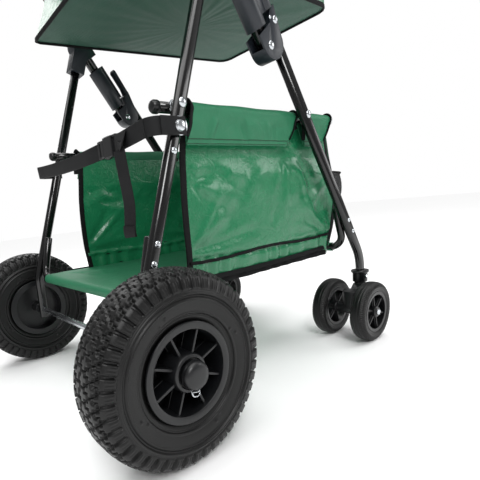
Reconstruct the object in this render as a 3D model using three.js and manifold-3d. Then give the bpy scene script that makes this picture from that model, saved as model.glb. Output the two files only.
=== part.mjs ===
// A folding beach cart: big rear wheels on a rear frame with a handle, front legs on twin casters that
// swing back about two side hinges, a fabric cargo sling between the frames and a fabric basket on a hoop.
// Millimetres. X points forward, Y to the left and Z up. While it is built, the origin is on the floor
// below the rear axle, and the last lines move it to the middle of the finished cart's base.
import * as THREE from "three";
import { mergeVertices } from "three/addons/utils/BufferGeometryUtils.js";
import Module from "manifold-3d";

const wasm = await Module();
wasm.setup();

// Clearances
const GAP = 0.3; // between pieces that touch
const SLIP = 0.7; // round a tube that a plastic piece slides or turns on
const RUN = 1; // beside a wheel that turns

// Frame tubes
const LEG_Y = 230; // from the middle plane to the plane of the legs
const LEG_THICKNESS = 16; // across the cart
const REAR_LEG_WIDTH = 20; // along the cart
const FRONT_LEG_WIDTH = 22;
const HANDLE_TUBE = 11; // radius
const HANDLE_HEIGHT = 962; // of the hand bar's middle
const HANDLE_BEND = 60;
const GRIP_RADIUS = 16;
const GRIP_LENGTH = 330;
const U_BAR = 8; // radius of the two bent bars that carry the deck
const U_BAR_BEND = 32;
const U_BAR_HEIGHT = 205; // of their level stretch
const U_BAR_RISE = 88; // of their upright ends above it
const RAIL = 8; // radius
const RAIL_HEIGHT = 472;
const RAIL_REAR_X = 80;
const RAIL_FRONT_X = 509;

// Leaning lines of the frame, as forward travel for each millimetre of height
const REAR_LEAN = 0.365;
const FRONT_LEAN = -0.66;

// Main hinge between the handle tube and the front leg
const HINGE = new THREE.Vector2(291, 568.5); // x and z
const HINGE_TO_LEG = 32; // from the handle tube's axis forward to the front leg's axis
const HINGE_FOLD = THREE.MathUtils.degToRad(36);
const BRACKET_THICKNESS = 30;
const BRACKET_RADIUS = 24.5;
const PIN = 4; // radius of every pivot pin
const PIN_SIDES = 12;
const LATCH_LENGTH = 94;
const LATCH_RADIUS = 16.5;

// Rear wheels
const WHEEL_RADIUS = 130;
const TYRE_WIDTH = 78;
const RIM_RADIUS = 62;
const RIM_WALL = 8;
const RIM_SPOKES = 8;
const AXLE = 6; // radius
const WHEEL_TO_LEG = 15; // from the leg's face to the tyre
const HUB_BOSS = 24; // radius
const HUB_CAP = 19; // radius

// Casters
const STEM_X = 588;
const STEM_HEIGHT = 147; // of the leg's end above the floor
const COLLAR_HEIGHT = 27;
const CASTER_RADIUS = 65;
const CASTER_WIDTH = 33;
const CASTER_TRAIL = 43;
const CASTER_SPREAD = 45.5; // from the fork's middle to a wheel's middle
const CASTER_RIM = 44; // radius
const CASTER_SPOKES = 6;

// Fabric: the cargo sling, its front pocket and the basket
const POCKET_DEPTH = 62;
const CLOTH = 3; // thickness of the plain solids that stand for fabric
const SLING_FROM_RAIL = 3.5; // from a rail's middle in to the side panel's middle
const SLING_REAR_X = 122;
const DECK_RIM = 230; // height of the deck's turned-up edges
const SLING_SEAM = 242; // height of the side panels' lower seam
const HOOP = 7; // radius
const HOOP_HEIGHT = 872;
const HOOP_FROM_LEG = 27; // from the legs' plane in to the hoop
const HOOP_FRONT_X = 606;
const HOOP_BEND = 60;
const BASKET_BAR_X = 127;
const BASKET_DEPTH_REAR = 176;
const BASKET_DEPTH_FRONT = 158;
const BASKET_BASE_REAR_X = 71;
const BASKET_TUCK_REAR = 13; // from the hoop in to the basket's base
const BASKET_TUCK_FRONT = 41;

// Load strap across the rear legs
const STRAP_WIDTH = 25;
const STRAP_THICKNESS = 2;
const STRAP_HEIGHT = 440;
const STRAP_SAG = 10;
const STRAP_TAIL = 145;
const STRAP_BACK = 48; // from the legs' bolts back to the strap's cross run
const STRAP_BEND = 22;
const BUCKLE_Y = -118;
const BUCKLE = { length: 62, height: 33, depth: 11 };

// Places worked out from the sizes above
const wheelY = LEG_Y + LEG_THICKNESS / 2 + WHEEL_TO_LEG + TYRE_WIDTH / 2;
const barY = LEG_Y - LEG_THICKNESS / 2 - U_BAR - 0.5;
const railY = LEG_Y - LEG_THICKNESS / 2 - RAIL - 7;
const slingY = railY - SLING_FROM_RAIL;
const hoopY = LEG_Y - HOOP_FROM_LEG;
const frontX = (z) => HINGE.x + (z - HINGE.y) * FRONT_LEAN;
const legAxis = new THREE.Vector2(FRONT_LEAN, 1).normalize(); // up along the handle tube and the front leg
const legAcross = new THREE.Vector2(legAxis.y, -legAxis.x);
const hingeAngle = Math.atan(-FRONT_LEAN);
const kneeZ = WHEEL_RADIUS + 75; // where the rear leg starts to lean
const kneeX = 4;
const rearX = (z) => kneeX + (z - kneeZ) * REAR_LEAN;
const apexZ = (HINGE.x - HINGE.y * FRONT_LEAN - kneeX + kneeZ * REAR_LEAN) / (REAR_LEAN - FRONT_LEAN);
const apex = new THREE.Vector2(rearX(apexZ), apexZ);
const rearBarX = 12;
const frontBarX = 549;

/** A point in the hinge's own frame, across and along the front leg, as x and z of the cart. */
function byHinge(across, along) {
  return HINGE.clone().addScaledVector(legAcross, across).addScaledVector(legAxis, along);
}
const legTop = byHinge(HINGE_TO_LEG, 24);
const frontLegX = (z) => legTop.x + (z - legTop.y) * FRONT_LEAN;
const stemCornerZ = legTop.y + (STEM_X - legTop.x) / FRONT_LEAN;
const railFrontPivotX = frontLegX(RAIL_HEIGHT) + 3;
const railRearPivotX = rearX(RAIL_HEIGHT);
const hoopPivotX = frontX(HOOP_HEIGHT);

const finishes = {
  frame: { color: 0x101113, metalness: 0.5, roughness: 0.3 },
  plastic: { color: 0x2b3038, metalness: 0, roughness: 0.5 },
  blackPlastic: { color: 0x141516, metalness: 0, roughness: 0.45 },
  rubber: { color: 0x232323, metalness: 0, roughness: 0.85 },
  foam: { color: 0x1a1a1a, metalness: 0, roughness: 0.95 },
  zinc: { color: 0xc9ced2, metalness: 1, roughness: 0.3 },
  green: { color: 0x2f7d55, metalness: 0, roughness: 0.6 },
  mesh: { color: 0x17191b, metalness: 0, roughness: 0.8 },
  webbing: { color: 0x17181b, metalness: 0, roughness: 0.8 },
};
const cart = new THREE.Group();

/** Adds one named piece to the cart. The shape is a geometry or a solid. */
function piece(name, shape, finish) {
  const geometry = shape instanceof THREE.BufferGeometry ? shape : geometryOf(shape);
  const mesh = new THREE.Mesh(geometry, new THREE.MeshStandardMaterial(finishes[finish]));
  mesh.name = name;
  cart.add(mesh);
}

/** Makes a piece for each side of the cart, with build(side) for side -1, right, and +1, left. */
function bothSides(name, build, finish) {
  piece(name + "_right", build(-1), finish);
  piece(name + "_left", build(1), finish);
}

/** A closed geometry as a solid that can be joined or cut. */
function solid(geometry) {
  const bare = geometry.clone();
  bare.deleteAttribute("normal");
  bare.deleteAttribute("uv");
  const merged = mergeVertices(bare, 1e-4);
  const mesh = new wasm.Mesh({
    numProp: 3,
    vertProperties: merged.attributes.position.array,
    triVerts: new Uint32Array(merged.index.array),
  });
  return new wasm.Manifold(mesh);
}

/** A solid as a geometry. */
function geometryOf(body) {
  const mesh = body.getMesh();
  const geometry = new THREE.BufferGeometry();
  geometry.setAttribute("position", new THREE.BufferAttribute(mesh.vertProperties, mesh.numProp));
  geometry.setIndex(new THREE.BufferAttribute(mesh.triVerts, 1));
  return geometry;
}

/** The solids joined into one. */
function join(...bodies) {
  return bodies.reduce((sum, body) => sum.add(body));
}

/** The first solid with the others cut out of it. */
function cut(body, ...tools) {
  return tools.reduce((left, tool) => left.subtract(tool), body);
}

/** A cylinder along Y from y0 to y1, round the line at x, z. */
function crossCylinder(radius, y0, y1, x, z, sides = 16) {
  const low = Math.min(y0, y1);
  const length = Math.abs(y1 - y0);
  return new THREE.CylinderGeometry(radius, radius, length, sides).translate(x, low + length / 2, z);
}

/** An upright cylinder from z0 to z1. */
function uprightCylinder(radius, z0, z1, x, y, sides = 20) {
  const shape = new THREE.CylinderGeometry(radius, radius, z1 - z0, sides).rotateX(Math.PI / 2);
  return shape.translate(x, y, (z0 + z1) / 2);
}

/** A profile of [radius, y] points turned round the line along Y at x, z. */
function turned(profile, x, z, sides = 24) {
  const points = profile.map(([r, y]) => new THREE.Vector2(r, y));
  return new THREE.LatheGeometry(points, sides).translate(x, 0, z);
}

/** A profile of [radius, y] points for the given side of the cart, drawn for the left side. */
function mirrored(profile, side) {
  return side > 0 ? profile : profile.map(([r, y]) => [r, -y]).reverse();
}

/** An outline drawn in x and z, as a plate between two planes of constant y. */
function plate(outline, y0, y1, curveSegments = 6) {
  const high = Math.max(y0, y1);
  const depth = Math.abs(y1 - y0);
  const extruded = new THREE.ExtrudeGeometry(outline, { depth, bevelEnabled: false, curveSegments });
  return extruded.rotateX(Math.PI / 2).translate(0, high, 0);
}

/** An outline of straight lines through the points. */
function polygon(points) {
  return new THREE.Shape(points.map(([x, y]) => new THREE.Vector2(x, y)));
}

/** Turns a shape drawn across and along the front leg into its place at the hinge. */
function placedAtHinge(geometry) {
  return geometry.rotateY(-hingeAngle).translate(HINGE.x, 0, HINGE.y);
}

/** A closed skin over rings of points, every ring having as many points as the first. */
function loft(rings) {
  const count = rings[0].length;
  const index = [];
  const quad = (a, b, c, d) => index.push(a, b, c, a, c, d);
  for (let r = 0; r < rings.length - 1; r++) {
    for (let i = 0; i < count; i++) {
      const next = (i + 1) % count;
      quad(r * count + i, r * count + next, (r + 1) * count + next, (r + 1) * count + i);
    }
  }
  const top = (rings.length - 1) * count;
  for (let i = 1; i < count - 1; i++) {
    index.push(0, i + 1, i);
    index.push(top, top + i, top + i + 1);
  }
  const geometry = new THREE.BufferGeometry();
  const flat = rings.flat().flatMap((point) => point.toArray());
  geometry.setAttribute("position", new THREE.Float32BufferAttribute(flat, 3));
  geometry.setIndex(index);
  return geometry;
}

/** A ring round a bag: square at the rear and rounded at its front corners, drawn in by inset. */
function bagRing({ rearX, frontX, rearY, frontY, rearZ, frontZ, corner }, inset = 0) {
  const ring = [new THREE.Vector2(rearX + inset, -rearY + inset)];
  for (const side of [-1, 1]) {
    for (let i = 0; i <= 4; i++) {
      const turn = (side * (4 - i) * Math.PI) / 8;
      const at = side < 0 ? turn : ((i * Math.PI) / 8);
      const middle = new THREE.Vector2(frontX - corner, side * (frontY - corner));
      const reach = new THREE.Vector2(Math.cos(at), Math.sin(at)).multiplyScalar(corner - inset);
      ring.push(middle.add(reach));
    }
  }
  ring.push(new THREE.Vector2(rearX + inset, rearY - inset));
  return ring.map(({ x, y }) => {
    const z = THREE.MathUtils.mapLinear(x, rearX, frontX, rearZ, frontZ);
    return new THREE.Vector3(x, y, z);
  });
}

/** An open bag between a lower and an upper ring, with walls and floor one cloth thick. */
function bag(low, high) {
  const raised = (ring, z) => ring.map((point) => point.clone().setZ(point.z + z));
  const outside = loft([bagRing(low), bagRing(high)]);
  const inside = loft([raised(bagRing(low, CLOTH), CLOTH), bagRing(high, CLOTH),
    raised(bagRing(high, CLOTH), 20)]);
  return cut(solid(outside), solid(inside));
}

/** A tube's centre line: straight runs joined by arcs, with a section only where it ends or bends. */
class BentLine extends THREE.Curve {
  constructor(corners, bendRadius, bendSteps = 5) {
    super();
    this.stations = [corners[0]];
    for (let i = 1; i < corners.length - 1; i++) {
      const before = corners[i].clone().sub(corners[i - 1]).normalize();
      const after = corners[i + 1].clone().sub(corners[i]).normalize();
      const turn = before.angleTo(after);
      const reach = bendRadius * Math.tan(turn / 2);
      const handle = bendRadius * (4 / 3) * Math.tan(turn / 4);
      const start = corners[i].clone().addScaledVector(before, -reach);
      const end = corners[i].clone().addScaledVector(after, reach);
      const first = start.clone().addScaledVector(before, handle);
      const second = end.clone().addScaledVector(after, -handle);
      this.stations.push(...new THREE.CubicBezierCurve3(start, first, second, end).getPoints(bendSteps));
    }
    this.stations.push(corners.at(-1));
  }
  getPoint(t, target = new THREE.Vector3()) {
    const at = t * (this.stations.length - 1);
    const i = Math.min(Math.floor(at), this.stations.length - 2);
    return target.lerpVectors(this.stations[i], this.stations[i + 1], at - i);
  }
  getSpacedPoints() {
    return this.stations.map((point) => point.clone());
  }
  getTangentAt(u, target = new THREE.Vector3()) {
    const last = this.stations.length - 1;
    const i = Math.round(u * last);
    const before = this.stations[Math.max(i - 1, 0)];
    const after = this.stations[Math.min(i + 1, last)];
    return target.subVectors(after, before).normalize();
  }
}

/** A section carried along a bent line. */
function swept(section, line, curveSegments = 6) {
  const options = { steps: line.stations.length - 1, extrudePath: line, curveSegments };
  return new THREE.ExtrudeGeometry(section, options);
}

/** A round section. */
function round(radius) {
  return new THREE.Shape().absarc(0, 0, radius, 0, Math.PI * 2, false);
}

/** A section with flat sides and round ends: thickness across the cart, width along it. */
function flatOval(thickness, width) {
  const r = thickness / 2;
  const flat = width / 2 - r;
  const outline = new THREE.Shape();
  outline.absarc(0, flat, r, 0, Math.PI, false);
  outline.absarc(0, -flat, r, Math.PI, Math.PI * 2, false);
  return outline;
}

const rearLegTop = apex.clone().addScaledVector(new THREE.Vector2(REAR_LEAN, 1).normalize(), -27);

/** A rear leg, fuller by grow all round when it is used to cut a socket. */
function rearLeg(side, grow = 0) {
  const corners = [
    new THREE.Vector3(0, side * LEG_Y, WHEEL_RADIUS - 18),
    new THREE.Vector3(kneeX, side * LEG_Y, kneeZ),
    new THREE.Vector3(rearLegTop.x, side * LEG_Y, rearLegTop.y),
  ];
  const section = flatOval(LEG_THICKNESS + 2 * grow, REAR_LEG_WIDTH + 2 * grow);
  return solid(swept(section, new BentLine(corners, 60), 3));
}

/** A front leg, fuller by grow all round when it is used to cut a socket. */
function frontLeg(side, grow = 0) {
  const corners = [
    new THREE.Vector3(legTop.x, side * LEG_Y, legTop.y),
    new THREE.Vector3(STEM_X, side * LEG_Y, stemCornerZ),
    new THREE.Vector3(STEM_X, side * LEG_Y, STEM_HEIGHT),
  ];
  const section = flatOval(LEG_THICKNESS + 2 * grow, FRONT_LEG_WIDTH + 2 * grow);
  return solid(swept(section, new BentLine(corners, 90), 3));
}

/** The handle: one tube from hinge to hinge, over the hand bar. */
function handleLoop(grow = 0) {
  const foot = byHinge(0, -8);
  const corners = [
    new THREE.Vector3(foot.x, -LEG_Y, foot.y),
    new THREE.Vector3(frontX(HANDLE_HEIGHT), -LEG_Y, HANDLE_HEIGHT),
    new THREE.Vector3(frontX(HANDLE_HEIGHT), LEG_Y, HANDLE_HEIGHT),
    new THREE.Vector3(foot.x, LEG_Y, foot.y),
  ];
  return solid(swept(round(HANDLE_TUBE + grow), new BentLine(corners, HANDLE_BEND), 6));
}

/** A bar bent like a U: upright ends beside the legs and a level stretch across the cart. */
function uBar(levelX, endX, grow = 0) {
  const top = U_BAR_HEIGHT + U_BAR_RISE;
  const corners = [
    new THREE.Vector3(endX, -barY, top),
    new THREE.Vector3(levelX, -barY, U_BAR_HEIGHT),
    new THREE.Vector3(levelX, barY, U_BAR_HEIGHT),
    new THREE.Vector3(endX, barY, top),
  ];
  return solid(swept(round(U_BAR + grow), new BentLine(corners, U_BAR_BEND), 5));
}

const rearUBar = (grow = 0) => uBar(rearBarX, rearX(U_BAR_HEIGHT + U_BAR_RISE), grow);
const frontUBar = (grow = 0) => uBar(frontBarX, frontLegX(U_BAR_HEIGHT + U_BAR_RISE) + 9, grow);

/** The block that clamps a rear leg's top to the handle tube. */
function legKnuckle(side) {
  const half = BRACKET_THICKNESS / 2 + 1;
  const planes = [side * (LEG_Y - half), side * (LEG_Y + half)];
  const alongHandle = polygon([[-18, -30], [18, -30], [18, 30], [-18, 30]]);
  const handlePart = plate(alongHandle, ...planes).rotateY(-hingeAngle).translate(apex.x, 0, apex.y);
  const alongLeg = polygon([[-16, -62], [16, -62], [16, 0], [-16, 0]]);
  const legPart = plate(alongLeg, ...planes).rotateY(Math.atan(REAR_LEAN)).translate(apex.x, 0, apex.y);
  const round = crossCylinder(24, ...planes, apex.x, apex.y, 24);
  const block = join(solid(handlePart), solid(legPart), solid(round));
  return cut(block, handleLoop(GAP), rearLeg(side, GAP));
}

/** The hinge bracket on a front leg's top, with a slot for the handle tube and a tall latch tongue. */
function hingeBracket(side) {
  const outline = new THREE.Shape();
  const middle = 7.5;
  outline.moveTo(middle - BRACKET_RADIUS, 23);
  outline.lineTo(middle - BRACKET_RADIUS, 0);
  outline.absarc(middle, 0, BRACKET_RADIUS, Math.PI, Math.PI * 2, false);
  outline.lineTo(HINGE_TO_LEG + 9, 46);
  outline.lineTo(LATCH_RADIUS + 9, 42);
  outline.lineTo(LATCH_RADIUS + 1, 28);
  const half = BRACKET_THICKNESS / 2;
  const cheek = placedAtHinge(plate(outline, side * (LEG_Y - half), side * (LEG_Y + half), 10));
  const strip = polygon([[HINGE_TO_LEG - 2, 36], [HINGE_TO_LEG + 9, 36], [HINGE_TO_LEG + 10.5, 100],
    [HINGE_TO_LEG + 7, 104], [HINGE_TO_LEG + 3, 100], [HINGE_TO_LEG + 3, 60]]);
  const tongue = placedAtHinge(plate(strip, side * (LEG_Y - half + 2), side * (LEG_Y + 3)));
  const swing = Math.PI / 2 + HINGE_FOLD;
  const room = HANDLE_TUBE + SLIP;
  const ahead = new THREE.Vector2(Math.cos(swing), Math.sin(swing));
  const behind = new THREE.Vector2(-ahead.y, ahead.x);
  const far = ahead.clone().multiplyScalar(60).addScaledVector(behind, room);
  const near = behind.clone().multiplyScalar(room);
  const mouth = polygon([[room, -4], [room, 70], [far.x, 70], [far.x, far.y], [near.x, near.y]]);
  const slotPlanes = [side * (LEG_Y - room), side * (LEG_Y + room)];
  const slot = solid(placedAtHinge(plate(mouth, ...slotPlanes)));
  const well = solid(crossCylinder(room + 3, ...slotPlanes, HINGE.x, HINGE.y, 24));
  return cut(join(solid(cheek), solid(tongue)), slot, well, frontLeg(side, GAP), hingeHole(side));
}

/** The hole of the main hinge's pin. */
function hingeHole(side) {
  return solid(crossCylinder(PIN + GAP, side * (LEG_Y - 40), side * (LEG_Y + 40), HINGE.x, HINGE.y));
}

/** A pin with a domed head at each end, from the leg's inner to its outer side. */
function headedPin(radius, inner, outer, side, x, z) {
  const head = 1.8 * radius;
  const profile = [[0, inner - 2.5], [head * 0.6, inner - 2], [head, inner], [radius, inner],
    [radius, outer], [head, outer], [head * 0.6, outer + 2], [0, outer + 2.5]];
  return turned(mirrored(profile, side), x, z, PIN_SIDES);
}

/** The plastic latch that slides on the handle tube, with its second channel beside the bracket's tongue. */
function latchSleeve(side) {
  const bottom = 31;
  const shell = uprightCylinder(LATCH_RADIUS, bottom, bottom + LATCH_LENGTH, 0, side * LEG_Y, 24);
  const channelX = 25;
  const channel = uprightCylinder(8.3, bottom + 14, bottom + LATCH_LENGTH, channelX, side * (LEG_Y + 12), 16);
  const web = new THREE.BoxGeometry(channelX, 10, LATCH_LENGTH - 14);
  web.translate(channelX / 2, side * (LEG_Y + 10.5), bottom + 14 + (LATCH_LENGTH - 14) / 2);
  const placed = [shell, channel, web].map((shape) => solid(placedAtHinge(shape)));
  return cut(join(...placed), handleLoop(SLIP));
}

/** A tyre as a ring of the given section, round the line along Y at x, y, z. */
function tyre(section, x, y, z, sides) {
  return turned(section.map(([r, across]) => [r, y + across]), x, z, sides);
}

const rearTyreSection = (() => {
  const half = TYRE_WIDTH / 2;
  const bead = RIM_RADIUS + GAP;
  const height = WHEEL_RADIUS - bead;
  const outer = [[1, 0], [0.99, 0.38], [0.93, 0.7], [0.78, 0.94], [0.55, 1], [0.28, 0.94], [0.06, 0.79]];
  const right = outer.map(([up, across]) => [bead + up * height, across * half]);
  const left = right.slice(1).map(([r, y]) => [r, -y]).reverse();
  return [[bead, -0.69 * half], ...left, ...right, [bead, 0.69 * half], [bead, -0.69 * half]];
})();

/** A rear wheel's moulded rim: barrel, web, ribs and a hub that reaches in to the leg. */
function rearRim(side) {
  const half = TYRE_WIDTH / 2;
  const lip = half - 4;
  const inside = RIM_RADIUS - RIM_WALL;
  const barrel = [[inside, -lip], [RIM_RADIUS + 3, -lip], [RIM_RADIUS + 3, -lip + 3], [RIM_RADIUS, -lip + 5],
    [RIM_RADIUS, lip - 5], [RIM_RADIUS + 3, lip - 3], [RIM_RADIUS + 3, lip], [inside, lip], [inside, -lip]];
  const toLeg = wheelY - LEG_Y - LEG_THICKNESS / 2 - 0.5;
  const hub = [[0, -toLeg], [12, -toLeg], [12, 6], [inside + 1, 6], [inside + 1, 14], [HUB_BOSS, 14],
    [HUB_BOSS, half - 1], [0, half - 1]];
  const parts = [solid(turned(barrel, 0, 0, 36)), solid(turned(hub, 0, 0, 24))];
  for (let i = 0; i < RIM_SPOKES; i++) {
    const rib = new THREE.BoxGeometry(inside - 19, 16, 5).translate((inside + 20) / 2, 20, 0);
    parts.push(solid(rib.rotateY((i * 2 * Math.PI) / RIM_SPOKES)));
  }
  const bore = solid(crossCylinder(AXLE + GAP, -2 * half, 2 * half, 0, 0));
  const rim = geometryOf(cut(join(...parts), bore));
  return rim.rotateZ(side > 0 ? 0 : Math.PI).translate(0, side * wheelY, WHEEL_RADIUS);
}

/** The domed cap on a rear hub. */
function hubCap(side) {
  const base = TYRE_WIDTH / 2 - 1 + GAP;
  const dome = [[0, base], [HUB_CAP, base], [HUB_CAP, base + 5], [15.5, base + 10], [8, base + 13],
    [0, base + 13.5]];
  return turned(dome, 0, 0, 20).rotateZ(side > 0 ? 0 : Math.PI).translate(0, side * wheelY, WHEEL_RADIUS);
}

/** The collar under a front leg that the caster's stem turns in. */
function casterCollar(side) {
  const top = STEM_HEIGHT - GAP;
  const flange = uprightCylinder(19, top - 6, top, STEM_X, side * LEG_Y, 24);
  const body = uprightCylinder(16, top - COLLAR_HEIGHT, top - 5, STEM_X, side * LEG_Y, 24);
  return join(solid(flange), solid(body));
}

/** A caster's fork: stem, sloping arm, housing and axle boss. */
function casterFork(side) {
  const y = side * LEG_Y;
  const top = STEM_HEIGHT - GAP - COLLAR_HEIGHT - GAP;
  const axleX = STEM_X - CASTER_TRAIL;
  const stem = uprightCylinder(12, CASTER_RADIUS + 24, top, STEM_X, y, 20);
  const housing = uprightCylinder(20, CASTER_RADIUS - 6, CASTER_RADIUS + 40, axleX + 8, y, 24);
  const arm = plate(
    polygon([[STEM_X + 11, top - 4], [STEM_X - 11, top - 4], [axleX - 6, CASTER_RADIUS + 14],
      [axleX - 4, CASTER_RADIUS - 12], [axleX + 26, CASTER_RADIUS + 4], [STEM_X + 11, CASTER_RADIUS + 24]]),
    y - 11, y + 11);
  const boss = crossCylinder(13, y - bossHalf, y + bossHalf, axleX, CASTER_RADIUS, 24);
  const bore = crossCylinder(PIN + GAP, y - 40, y + 40, axleX, CASTER_RADIUS);
  return cut(join(solid(stem), solid(housing), solid(arm), solid(boss)), solid(bore));
}
const bossHalf = CASTER_SPREAD - CASTER_WIDTH / 2 - RUN;

/** A caster's axle with a pressed cap at each end. */
function casterAxle(side) {
  const half = CASTER_SPREAD + CASTER_WIDTH / 2 + RUN;
  const middle = side * LEG_Y;
  const profile = [[0, -half - 2.5], [5.5, -half - 2], [6.5, -half], [PIN, -half], [PIN, half], [6.5, half],
    [5.5, half + 2], [0, half + 2.5]];
  return turned(profile, STEM_X - CASTER_TRAIL, CASTER_RADIUS, 16).translate(0, middle, 0);
}

const casterTyreSection = (() => {
  const half = CASTER_WIDTH / 2;
  const bead = CASTER_RIM + GAP;
  const outer = [[CASTER_RADIUS, half * 0.35], [CASTER_RADIUS - 1.5, half * 0.7],
    [CASTER_RADIUS - 6, half * 0.97], [CASTER_RADIUS - 12, half], [bead + 1.5, half * 0.88]];
  const left = outer.map(([r, y]) => [r, -y]).reverse();
  return [[bead, -0.8 * half], ...left, ...outer, [bead, 0.8 * half], [bead, -0.8 * half]];
})();

/** A caster's rim: ring, hub and spokes. */
function casterRim(y) {
  const half = CASTER_WIDTH / 2;
  const ring = [[38, -half + 2], [CASTER_RIM, -half + 2], [CASTER_RIM, half - 2], [38, half - 2],
    [38, -half + 2]];
  const parts = [solid(turned(ring, 0, 0, 28)), solid(crossCylinder(12, -half, half, 0, 0, 16))];
  for (let i = 0; i < CASTER_SPOKES; i++) {
    const spoke = new THREE.BoxGeometry(30, CASTER_WIDTH * 0.5, 7).translate(25, 0, 0);
    parts.push(solid(spoke.rotateY((i * 2 * Math.PI) / CASTER_SPOKES)));
  }
  const bore = solid(crossCylinder(PIN + GAP, -half * 2, half * 2, 0, 0));
  return geometryOf(cut(join(...parts), bore)).translate(STEM_X - CASTER_TRAIL, y, CASTER_RADIUS);
}

/** The rivet on a rear leg, with the spacer that the side rail slides past. */
function railRivet(side) {
  const spacer = [railY + RAIL + GAP, LEG_Y - LEG_THICKNESS / 2 - GAP];
  const outer = LEG_Y + LEG_THICKNESS / 2 + GAP;
  const profile = [[0, spacer[0]], [9, spacer[0]], [9, spacer[1]], [PIN, spacer[1]], [PIN, outer],
    [1.8 * PIN, outer], [PIN, outer + 2.2], [0, outer + 2.6]];
  return turned(mirrored(profile, side), railRearPivotX, RAIL_HEIGHT, PIN_SIDES);
}

/** A hole across a leg at x, z. */
function legHole(side, x, z, radius = PIN + GAP) {
  return solid(crossCylinder(radius, side * (LEG_Y - 30), side * (LEG_Y + 30), x, z));
}

/** The deck: a tray of cloth between the two bent bars, with turned-up sides. */
function slingDeck() {
  const y = slingY + CLOTH / 2;
  const floor = U_BAR_HEIGHT + 4;
  const tray = polygon([[-y, DECK_RIM], [-y, floor - CLOTH], [y, floor - CLOTH], [y, DECK_RIM],
    [y - CLOTH, DECK_RIM], [y - CLOTH, floor], [-y + CLOTH, floor], [-y + CLOTH, DECK_RIM]]);
  const rear = rearBarX + U_BAR + 1;
  const depth = frontBarX - U_BAR - 1 - rear;
  const extruded = new THREE.ExtrudeGeometry(tray, { depth, bevelEnabled: false });
  const placed = solid(extruded.rotateX(Math.PI / 2).rotateZ(Math.PI / 2).translate(rear, 0, 0));
  return cut(placed, rearUBar(1), frontUBar(1));
}

const slingTop = RAIL_HEIGHT - RAIL - CLOTH;
const slingFrontEdge = [[RAIL_FRONT_X - 4, slingTop], [frontBarX - 20, 371], [frontBarX - 11, 308],
  [frontBarX - 31, SLING_SEAM - 4]];

/** A side panel of the sling, between rail and deck. */
function slingSide(side) {
  const rearEdge = [[SLING_REAR_X, slingTop], [SLING_REAR_X - 4, SLING_SEAM]];
  const outline = polygon([...rearEdge, ...slingFrontEdge.toReversed()]);
  return plate(outline, side * (slingY - CLOTH / 2), side * (slingY + CLOTH / 2));
}

/** The sling's front panel, across the cart. */
function slingFront() {
  const outer = slingFrontEdge.map(([x, z]) => [x + CLOTH, z]);
  const inner = slingFrontEdge.toReversed();
  const half = railY - RAIL - 1;
  return plate(polygon([...outer, ...inner]), -half, half);
}

/** The open pocket in front of the sling's front panel. */
function frontPocket() {
  const back = frontBarX - 6;
  const wide = slingY - 12;
  const low = { rearX: back, frontX: back + POCKET_DEPTH, rearY: wide, frontY: wide, rearZ: 288, frontZ: 298,
    corner: 24 };
  const high = { ...low, rearZ: 392, frontZ: 372 };
  return bag(low, high);
}

/** The hoop that carries the basket, with the bar that holds the basket's rear edge. */
function basketHoop() {
  const rear = hoopPivotX - 12;
  const corners = [
    new THREE.Vector3(rear, -hoopY, HOOP_HEIGHT),
    new THREE.Vector3(HOOP_FRONT_X, -hoopY, HOOP_HEIGHT),
    new THREE.Vector3(HOOP_FRONT_X, hoopY, HOOP_HEIGHT),
    new THREE.Vector3(rear, hoopY, HOOP_HEIGHT),
  ];
  const tube = solid(swept(round(HOOP), new BentLine(corners, HOOP_BEND), 5));
  const bar = solid(crossCylinder(5, -hoopY, hoopY, BASKET_BAR_X, HOOP_HEIGHT, 12));
  return cut(join(tube, bar), hoopHole(-1), hoopHole(1));
}

/** The hole of a hoop bolt. */
function hoopHole(side) {
  return solid(crossCylinder(PIN + GAP, side * (hoopY - 20), side * (LEG_Y + 30), hoopPivotX, HOOP_HEIGHT));
}

/** The bolt that a side of the hoop turns on, with the spacer between hoop and handle tube. */
function hoopBolt(side) {
  const inner = hoopY - HOOP - GAP;
  const spacer = [hoopY + HOOP + GAP, LEG_Y - HANDLE_TUBE - GAP];
  const outer = LEG_Y + HANDLE_TUBE + GAP;
  const profile = [[0, inner - 3], [7, inner - 3], [7, inner], [PIN, inner], [PIN, spacer[0]], [9, spacer[0]],
    [9, spacer[1]], [PIN, spacer[1]], [PIN, outer], [7, outer], [5, outer + 4], [0, outer + 4]];
  return turned(mirrored(profile, side), hoopPivotX, HOOP_HEIGHT, PIN_SIDES);
}

/** The basket: a bag of cloth inside the hoop, open at the top. */
function basket() {
  const topY = hoopY - HOOP - 1;
  const top = HOOP_HEIGHT + 4;
  const low = { rearX: BASKET_BASE_REAR_X, frontX: HOOP_FRONT_X - HOOP - 2, rearY: hoopY - BASKET_TUCK_REAR,
    frontY: hoopY - BASKET_TUCK_FRONT, rearZ: top - BASKET_DEPTH_REAR, frontZ: top - BASKET_DEPTH_FRONT,
    corner: 30 };
  const high = { rearX: BASKET_BAR_X + 9, frontX: HOOP_FRONT_X - HOOP - 1, rearY: topY, frontY: topY,
    rearZ: top, frontZ: top, corner: HOOP_BEND };
  return bag(low, high);
}

const boltX = rearX(STRAP_HEIGHT);
const strapX = boltX - STRAP_BACK;
const strapY = LEG_Y + LEG_THICKNESS / 2 + GAP + STRAP_THICKNESS / 2;
/** The strap's height where it crosses behind the legs, a shallow hanging curve. */
const strapZ = (y) => STRAP_HEIGHT - STRAP_SAG * (1 - (y / strapY) ** 2);

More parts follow.
